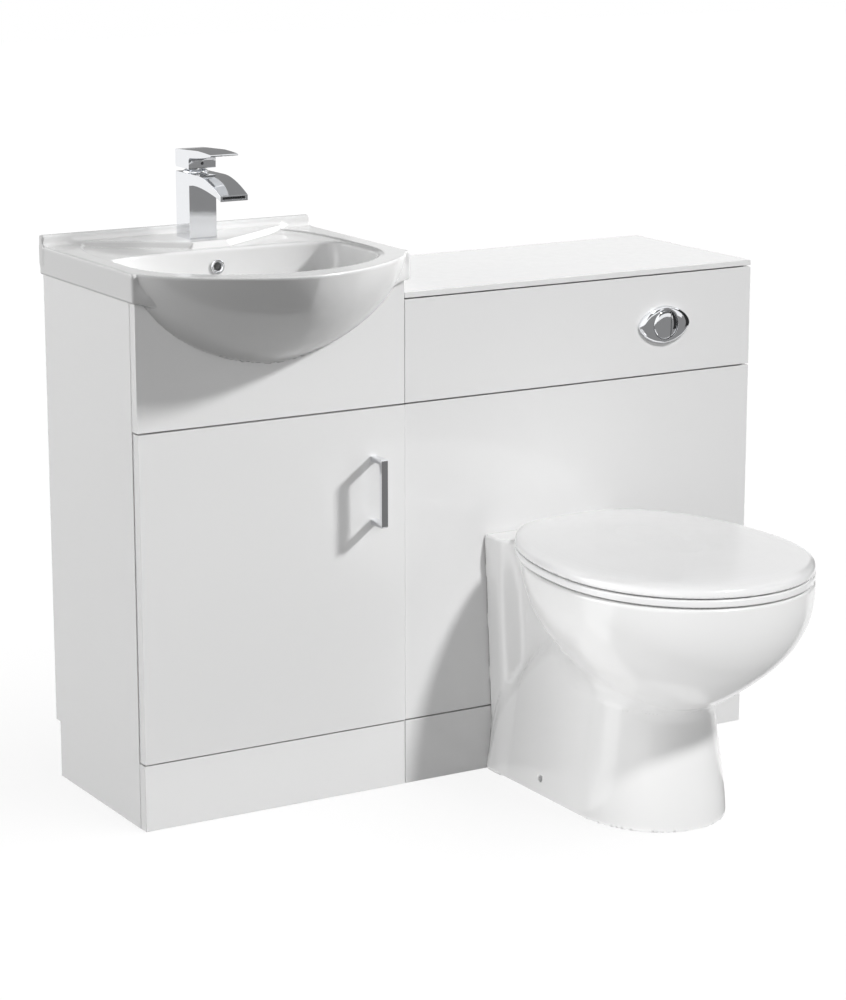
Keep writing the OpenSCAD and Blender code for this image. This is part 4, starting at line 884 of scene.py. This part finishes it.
@dataclass
class Seat:
    """The seat ring and the crowned lid, hinged at the back."""

    cx: float = 717.0
    cy: float = -336.0
    hinge_y: float = -66.0
    axis_z: float = 401.0
    ring_z: float = 388.5
    ring_t: float = 11.5
    ring_back: float = -78.0
    ring_arm: float = 55.5
    lid_z: float = 402.0
    lid_t: float = 25.0
    lid_back: float = -76.5
    lid_wall: float = 13.0
    lid_arm: float = 39.5
    arm_half: float = 6.0
    arm_front: float = -92.0
    eye: float = 7.5
    eye_room: float = 12.0
    pin_hole: float = 3.05
    post_x: float = 77.5
    post_room: float = 18.0
    mesh: float = 2.6
    crown: Curves = field(default_factory=lambda: flowing([
        (-4, 2.5), (0, 1.2), (1.4, 0.2), (3, 0), (8, 0), (12, 2.2), (15.4, 8), (17.6, 18),
        (19.4, 34), (21.6, 66), (23.4, 106), (24.6, 150), (25.0, 190)], 1.2))

    def inset(self, p: Cloud) -> Cloud:
        """How far inside the outline of the lid a point lies.

        Args:
            p: Points.

        Returns:
            The lengths in from the outline.
        """

        def raw(q: Cloud) -> Cloud:
            """Raw field."""
            return gauge(q, self.cx, self.cy, 198.0, 229.0, 300.0, 2.05, 2.1) - 1

        return -evened(raw, p)

    def hinged(self, p: Cloud, body: Cloud, arm: float, heights: tuple[float, float],
               top: float) -> Cloud:
        """Adds a half's two hinge arms with their eyes, and clears it round the posts.

        Args:
            p: Points.
            body: The half's field.
            arm: How far the arms stand from the middle.
            heights: Underside and top of the arms.
            top: How high the room round the posts goes.

        Returns:
            The field.
        """
        for side in (-1, 1):
            left, right = (self.cx + side * arm + k * self.arm_half for k in (-1, 1))
            stem = box(p, (left, self.arm_front, heights[0]), (right, self.hinge_y, heights[1]),
                       1)
            eye = post(p, 0, (self.hinge_y, self.axis_z), self.eye, (left, right))
            hinge = (self.cx + side * self.post_x, self.hinge_y)
            body = fuse(body, np.minimum(stem, eye), 1.5)
            body = carve(body, post(p, 2, hinge, self.post_room, (370, top)), 0.6)
        return body

    def ring_solid(self, p: Cloud) -> Cloud:
        """The seat ring's field.

        Args:
            p: Points.

        Returns:
            The field.
        """
        y, z = p[:, 1], p[:, 2] - self.ring_z
        ring = trim(-self.inset(p), np.abs(z - self.ring_t / 2) - self.ring_t / 2, 2.6)
        ring = trim(ring, y - self.ring_back, 2.0)

        def mouth(q: Cloud) -> Cloud:
            """Raw field of the opening."""
            return gauge(q, self.cx, self.cy + 4, 117.0, 190.0, 122.0, 2.1, 2.4) - 1

        ring = carve(ring, evened(mouth, p), 5.2)
        ring = self.hinged(p, ring, self.ring_arm, (self.ring_z + 1, self.ring_z + 9), 430)
        return carve(ring, post(p, 0, (self.hinge_y, self.axis_z), self.pin_hole, (600, 830)))

    def lid_solid(self, p: Cloud) -> Cloud:
        """The lid's field.

        Args:
            p: Points.

        Returns:
            The field.
        """
        y, z = p[:, 1], p[:, 2] - self.lid_z
        inset = self.inset(p)
        heights = np.linspace(3, self.lid_t, 240)
        rise = self.crown(heights)[0]
        top = np.interp(inset, rise, heights)
        slope = np.interp(inset + 1.0, rise, heights) - top
        dome = (z - top) / np.sqrt(1 + slope ** 2)
        lid = trim(trim(-inset, dome, 2.5), -z, 1.6)
        lid = trim(lid, y - self.lid_back, 3.0)
        room = trim(-(inset - self.lid_wall - 0.3 * z), z - 9, 3)
        lid = carve(lid, trim(room, y + 110, 4), 0.8)
        lid = self.hinged(p, lid, self.lid_arm, (self.lid_z + 1.5, self.lid_z + 6.5), 413.5)
        axis = (self.hinge_y, self.axis_z)
        for side in (-1, 1):
            x = self.cx + side * self.ring_arm
            lid = carve(lid, post(p, 0, axis, self.eye_room, (x - 6.6, x + 6.6)), 0.4)
        return carve(lid, post(p, 0, axis, self.pin_hole, (580, 850)))

    def build(self, shades: Shades) -> list[bpy.types.Object]:
        """Makes both and sets them in place of their CAD nodes.

        Args:
            shades: The finishes.

        Returns:
            The ring and the lid.
        """
        ring = Casting("seat_ring_moulding", self.ring_solid, (514, -569, 385), (920, -50, 412),
                       self.mesh).piece
        lid = Casting("seat_lid_moulding", self.lid_solid, (514, -569, 391), (920, -50, 431),
                      self.mesh).piece
        return [settle(ring, "seat", "seat_plastic", shades, "seat_ring"),
                settle(lid, "lid", "seat_plastic", shades, "seat_lid")]


# ---------------- carried nodes


def settle(piece: bpy.types.Object, body: str, slot: str, shades: Shades, *nodes: str,
           ) -> bpy.types.Object:
    """Gives a new piece its body and finish, and hides the CAD nodes that it stands for.

    Args:
        piece: The piece, in the row frame.
        body: The body that it rides on.
        slot: The record's material slot.
        shades: The finishes.
        *nodes: CAD nodes that it replaces.

    Returns:
        The piece.
    """
    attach(piece, body)
    shades.wear(piece, slot)
    if nodes:
        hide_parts(*nodes)
    log.info("%s rides on %s, %d faces", piece.name, body, len(piece.data.polygons))
    return piece


@dataclass
class Edges:
    """How the edge of a carried CAD node is broken."""

    width: float
    segments: int = 2
    sharp: float = 34.0
    level: float = 0.4
    touching: float = 0.000002

    def put_on(self, node: bpy.types.Object) -> None:
        """Joins the node's loose triangles, clears flat faces and breaks its edges.

        Args:
            node: The node.
        """
        weld = node.modifiers.new("join", "WELD")
        weld.merge_threshold = self.touching
        flat = node.modifiers.new("flat", "DECIMATE")
        flat.decimate_type = "DISSOLVE"
        flat.angle_limit = math.radians(self.level)
        bevel = node.modifiers.new("edge", "BEVEL")
        bevel.width, bevel.segments = self.width, self.segments
        bevel.limit_method, bevel.angle_limit = "ANGLE", math.radians(self.sharp)
        bevel.miter_outer = "MITER_ARC"
        bevel.harden_normals = True
        # The file's own normals would hide those that the modifiers make.
        kept = node.data.attributes.get("custom_normal")
        if kept is not None:
            node.data.attributes.remove(kept)
        node.data.polygons.foreach_set("use_smooth", np.ones(len(node.data.polygons), bool))


class Fittings:
    """Every CAD node that keeps its own shape."""

    WIDTHS = {
        "vanity_sides": 0.0005, "vanity_floor": 0.0004, "vanity_rails": 0.0004,
        "vanity_fascia": 0.0006, "vanity_plinth": 0.0006, "cabinet_door": 0.0008,
        "wc_sides": 0.0005, "wc_worktop": 0.0008, "wc_panel_upper": 0.0006,
        "wc_panel_lower": 0.0006, "wc_plinth": 0.0006, "wc_rails": 0.0004,
        "door_handle": 0.0006, "tap_body": 0.0006, "tap_lever": 0.0006,
    }

    OTHER_WIDTH = 0.00025

    def dress(self, shades: Shades) -> None:
        """Edges and finishes of all the nodes that are still shown.

        Args:
            shades: The finishes.
        """
        for name, node in sorted(frame["nodes"].items()):
            if node.hide_render:
                continue
            slot = node.data.materials[0].name.split(".")[0] if node.data.materials else ""
            if slot not in shades.by_slot:
                log.warning("%s has no known slot: %r", name, slot)
                slot = "white_plastic"
            Edges(self.WIDTHS.get(name, self.OTHER_WIDTH)).put_on(node)
            shades.wear(node, slot)
            log.info("%s dressed as %s", name, slot)


# ---------------- studio


Picks = Callable[[str], bool]
WHITE = (1.0, 1.0, 1.0, 1.0)


def in_pan(name: str) -> bool:
    """Whether a piece belongs to the pan or its seat."""
    return name.startswith(("pan", "seat", "lid"))


def in_tap(name: str) -> bool:
    """Whether a piece belongs to the mixer tap."""
    return name.startswith(("tap", "spout", "cartridge", "lever"))


def in_basin(name: str) -> bool:
    """Whether a piece is the basin."""
    return name.startswith("basin")


def in_toilet_unit(name: str) -> bool:
    """Whether a piece belongs to the toilet side of the unit."""
    return in_pan(name) or name.startswith(("wc_", "flush", "cistern", "fill_", "soil"))


def is_floor(name: str) -> bool:
    """Whether a piece is the studio's floor."""
    return name == "studio_floor"


def no(test: Picks) -> Picks:
    """The opposite of a test."""
    return lambda name: not test(name)


def either(*tests: Picks) -> Picks:
    """A test that holds where one of several does."""
    return lambda name: any(test(name) for test in tests)


@dataclass(frozen=True)
class Lamp:
    """A far lamp.

    Attributes:
        name: Its name.
        source: Direction towards it.
        strength: Light that it gives.
        spread: Its width as seen from the unit, in degrees.
        misses: Tells by name what this lamp is flagged off from.
        clear: Tells by name what casts no shadow under it.
    """

    name: str
    source: tuple[float, float, float]
    strength: float
    spread: float
    misses: Picks | None = None
    clear: Picks | None = None

    def hang(self) -> None:
        """Puts the lamp up and links it to what it lights."""
        lamp = bpy.data.lights.new(self.name, "SUN")
        lamp.energy, lamp.angle = self.strength, math.radians(self.spread)
        holder = bpy.data.objects.new(self.name, lamp)
        holder.rotation_euler = Vector(self.source).to_track_quat("Z", "Y").to_euler()
        bpy.context.scene.collection.objects.link(holder)
        for kind, test in (("receiver_collection", self.misses),
                           ("blocker_collection", self.clear)):
            if test is None:
                continue
            group = bpy.data.collections.new(f"{self.name}_{kind}")
            for piece in bpy.context.scene.objects:
                if piece.type == "MESH" and test(piece.name):
                    group.objects.link(piece)
            for entry in group.collection_objects:
                entry.light_linking.link_state = "EXCLUDE"
            setattr(holder.light_linking, kind, group)


def sheet(name: str, paint: str, size: tuple[float, float], place: Matrix,
          ) -> tuple[bpy.types.Object, bpy.types.NodeTree]:
    """A flat sheet with a material of its own.

    Args:
        name: Its name.
        paint: The material's name.
        size: Width and height.
        place: Where it goes.

    Returns:
        The sheet and its material's empty tree.
    """
    bm = bmesh.new()
    bmesh.ops.create_grid(bm, x_segments=1, y_segments=1, size=0.5)
    bmesh.ops.scale(bm, vec=(*size, 1), verts=bm.verts)
    bmesh.ops.transform(bm, matrix=place, verts=bm.verts)
    mesh = bpy.data.meshes.new(name)
    bm.to_mesh(mesh)
    bm.free()
    piece = bpy.data.objects.new(name, mesh)
    bpy.context.scene.collection.objects.link(piece)
    mesh.materials.append(bpy.data.materials.new(paint))
    return piece, bare_tree(mesh.materials[0])


@dataclass(frozen=True)
class Card:
    """A glowing card that lights nothing and that only polished metal and gloss can see: a
    painted reflection, hung as a studio sets cards round chrome.

    Attributes:
        name: Its name.
        centre: Its middle.
        towards: The point that it faces.
        size: Width and height.
        grey: How bright its painted reflection is.
    """

    name: str
    centre: tuple[float, float, float]
    towards: tuple[float, float, float]
    size: tuple[float, float]
    grey: float

    def hang(self) -> None:
        """Puts the card up."""
        aim = (Vector(self.towards) - Vector(self.centre)).to_track_quat("Z", "Y")
        card, tree = sheet(self.name, self.name, self.size,
                           Matrix.Translation(self.centre) @ aim.to_matrix().to_4x4())
        glow = wire(tree, "Emission", Color=(self.grey,) * 3 + (1.0,))
        wire(tree, "OutputMaterial", Surface=glow.outputs[0])
        # Hidden from the camera, from light and from shadows, the card only paints a reflection
        # into gloss and chrome.
        card.visible_camera = card.visible_diffuse = card.visible_shadow = False
        card.visible_transmission = False


@dataclass
class Studio:
    """Pale floor, soft light, and the camera at the photograph's place."""

    key: float = 3.5
    key_source: tuple[float, float, float] = (0.735, -0.415, 0.536)
    key_spread: float = 5.5
    pan_key: float = 2.4
    side: float = 1.35
    front_source: tuple[float, float, float] = (-0.35, -0.9, 0.25)
    horizon: float = 0.77
    zenith: float = 0.05
    sky_fall: float = 0.9
    floor_side: float = 28.0
    floor_z: float = -0.0006
    floor_tones: tuple[float, float] = (0.11, 0.93)
    floor_glow: float = 0.86
    lens: float = 106.9
    sensor: float = 36.0
    eye: tuple[float, float, float] = (-2.3335, -3.725, 1.508)
    tilt: float = 13.28
    turn: float = 30.55

    def floor(self) -> None:
        """A pale floor that runs out to the horizon and keeps the shadow."""
        floor, tree = sheet("studio_floor", "pale_floor", (self.floor_side, self.floor_side),
                            Matrix.Translation((0, 0, self.floor_z)))
        seen = self._seen(tree)
        tones = ((k, k, k, 1.0) for k in self.floor_tones)
        body = wire(tree, "BsdfDiffuse", Color=mixed(tree, seen, *tones))
        glow = wire(tree, "Emission", Color=WHITE)
        mix = wire(tree, "MixShader", Fac=maths(tree, "MULTIPLY", seen, self.floor_glow))
        feed(mix.inputs[1], body.outputs[0])
        feed(mix.inputs[2], glow.outputs[0])
        wire(tree, "OutputMaterial", Surface=mix.outputs[0])

    @staticmethod
    def _seen(tree: bpy.types.NodeTree) -> bpy.types.NodeSocket:
        """1 for camera, glossy and transmission rays, and 0 for the light itself.

        Args:
            tree: A tree.

        Returns:
            The socket.
        """
        rays = tree.nodes.new("ShaderNodeLightPath").outputs
        seen = maths(tree, "MAXIMUM", rays["Is Camera Ray"], rays["Is Glossy Ray"])
        return maths(tree, "MAXIMUM", seen, rays["Is Transmission Ray"])

    def sky_light(self) -> None:
        """A soft sky, brightest at the horizon, that the camera sees as plain white."""
        world = bpy.data.worlds.new("studio_sky")
        bpy.context.scene.world = world
        tree = bare_tree(world)
        way = tree.nodes.new("ShaderNodeTexCoord").outputs["Generated"]
        height = wire(tree, "SeparateXYZ", Vector=way).outputs["Z"]
        fall = wire(tree, "MapRange", Value=height, From_Min=0.0, From_Max=self.sky_fall,
                    To_Min=self.horizon, To_Max=self.zenith)
        fall.interpolation_type = "SMOOTHERSTEP"
        span = wire(tree, "MapRange", Value=self._seen(tree), To_Min=fall.outputs["Result"],
                    To_Max=1.0)
        glow = wire(tree, "Background", Color=WHITE, Strength=span.outputs["Result"])
        wire(tree, "OutputWorld", Surface=glow.outputs[0])

    def camera(self) -> None:
        """The camera, at the photograph's angle."""
        eye = bpy.data.cameras.new("eye")
        eye.lens, eye.sensor_width, eye.clip_end = self.lens, self.sensor, 100.0
        holder = bpy.data.objects.new("eye", eye)
        holder.location = self.eye
        holder.rotation_euler = (math.radians(90 - self.tilt), 0, math.radians(-self.turn))
        bpy.context.scene.collection.objects.link(holder)
        bpy.context.scene.camera = holder

    def lamps(self) -> tuple[Lamp, ...]:
        """The photograph's light: a key for each half of the unit, and fills.

        Returns:
            The lamps.
        """
        key, side, front = self.key_source, self.key_spread, self.front_source
        beside = either(in_toilet_unit, is_floor)
        return (
            Lamp("vanity_key", key, 0.42 * self.key, side, beside, in_pan),
            Lamp("vanity_soft_key", key, 0.58 * self.key, side, beside, either(in_pan, in_tap)),
            Lamp("pan_key", (0.12, -0.651, 0.749), self.pan_key, side, no(in_toilet_unit)),
            Lamp("floor_key", (0.5, -0.45, 0.9), 3.0, 60.0, no(is_floor)),
            Lamp("front_fill", front, 0.58, 80.0, either(in_toilet_unit, in_basin)),
            Lamp("panel_fill", front, 0.26, 80.0, either(in_pan, no(in_toilet_unit))),
            Lamp("pan_left_fill", (-0.9, -0.1, -0.3), 1.5, 90.0, no(in_pan), is_floor),
            Lamp("pan_low_fill", (0.1, -0.3, -0.95), 1.5, 90.0, no(in_pan), is_floor),
            Lamp("side_fill", (-0.85, 0.48, 0.2), self.side, 45.0),
            Lamp("far_side_fill", (0.98, 0.12, 0.12), 0.8, 55.0),
            Lamp("back_fill", (0.1, 0.98, 0.12), 1.0, 55.0))

    @staticmethod
    def cards() -> tuple[Card, ...]:
        """Painted reflections for the gloss and chrome: a dark floor in place of the pale one,
        the room behind and a dark room beside.

        Returns:
            The cards.
        """
        return (
            # Painted reflection of a dark floor, which gloss sees in place of the pale one.
            Card("floor_flag", (3.0, -7.1, 0.006), (3.0, -7.1, 1.0), (11.0, 13.9), 0.27),
            # Painted grey reflection behind and above the tap.
            Card("back_flag", (-0.054, 0.868, 1.61), (-0.32, 0.33, 1.61), (1.1, 1.2), 0.27),
            # Painted reflections of the room behind, darker to the left.
            Card("far_left_flag", (0.6, 4.4, 1.7), (0.6, 0.0, 1.7), (3.2, 2.6), 0.66),
            Card("far_right_flag", (4.3, 4.4, 1.7), (4.3, 0.0, 1.7), (4.2, 2.6), 0.94),
            # Painted dark reflection to the right, which darkens the chrome's right faces.
            Card("right_flag", (2.3, -0.1, 0.85), (0.4, -0.1, 0.85), (3.2, 1.7), 0.03),
            # Painted dark reflection above the front right.
            Card("top_flag", (1.9, -1.9, 2.0), (0.38, 0.0, 0.7), (3.0, 1.9), 0.16),
            # Painted dark reflection in front of the door handle's bar.
            Card("handle_flag", (-0.077, -0.042, 0.446), (-0.15, 0.085, 0.48), (0.06, 0.15),
                 0.20))

    def build(self) -> None:
        """Sets up the whole studio."""
        bpy.context.scene.view_settings.view_transform = "Standard"
        self.camera()
        self.floor()
        self.sky_light()
        for thing in (*self.lamps(), *self.cards()):
            thing.hang()


def main() -> None:
    """Builds the unit in order."""
    logging.basicConfig(level=logging.INFO, format="%(message)s")
    shades = Shades()
    Basin().build(shades)
    Pan().build(shades)
    Seat().build(shades)
    Fittings().dress(shades)
    Studio().build()


if __name__ == "__main__":
    main()
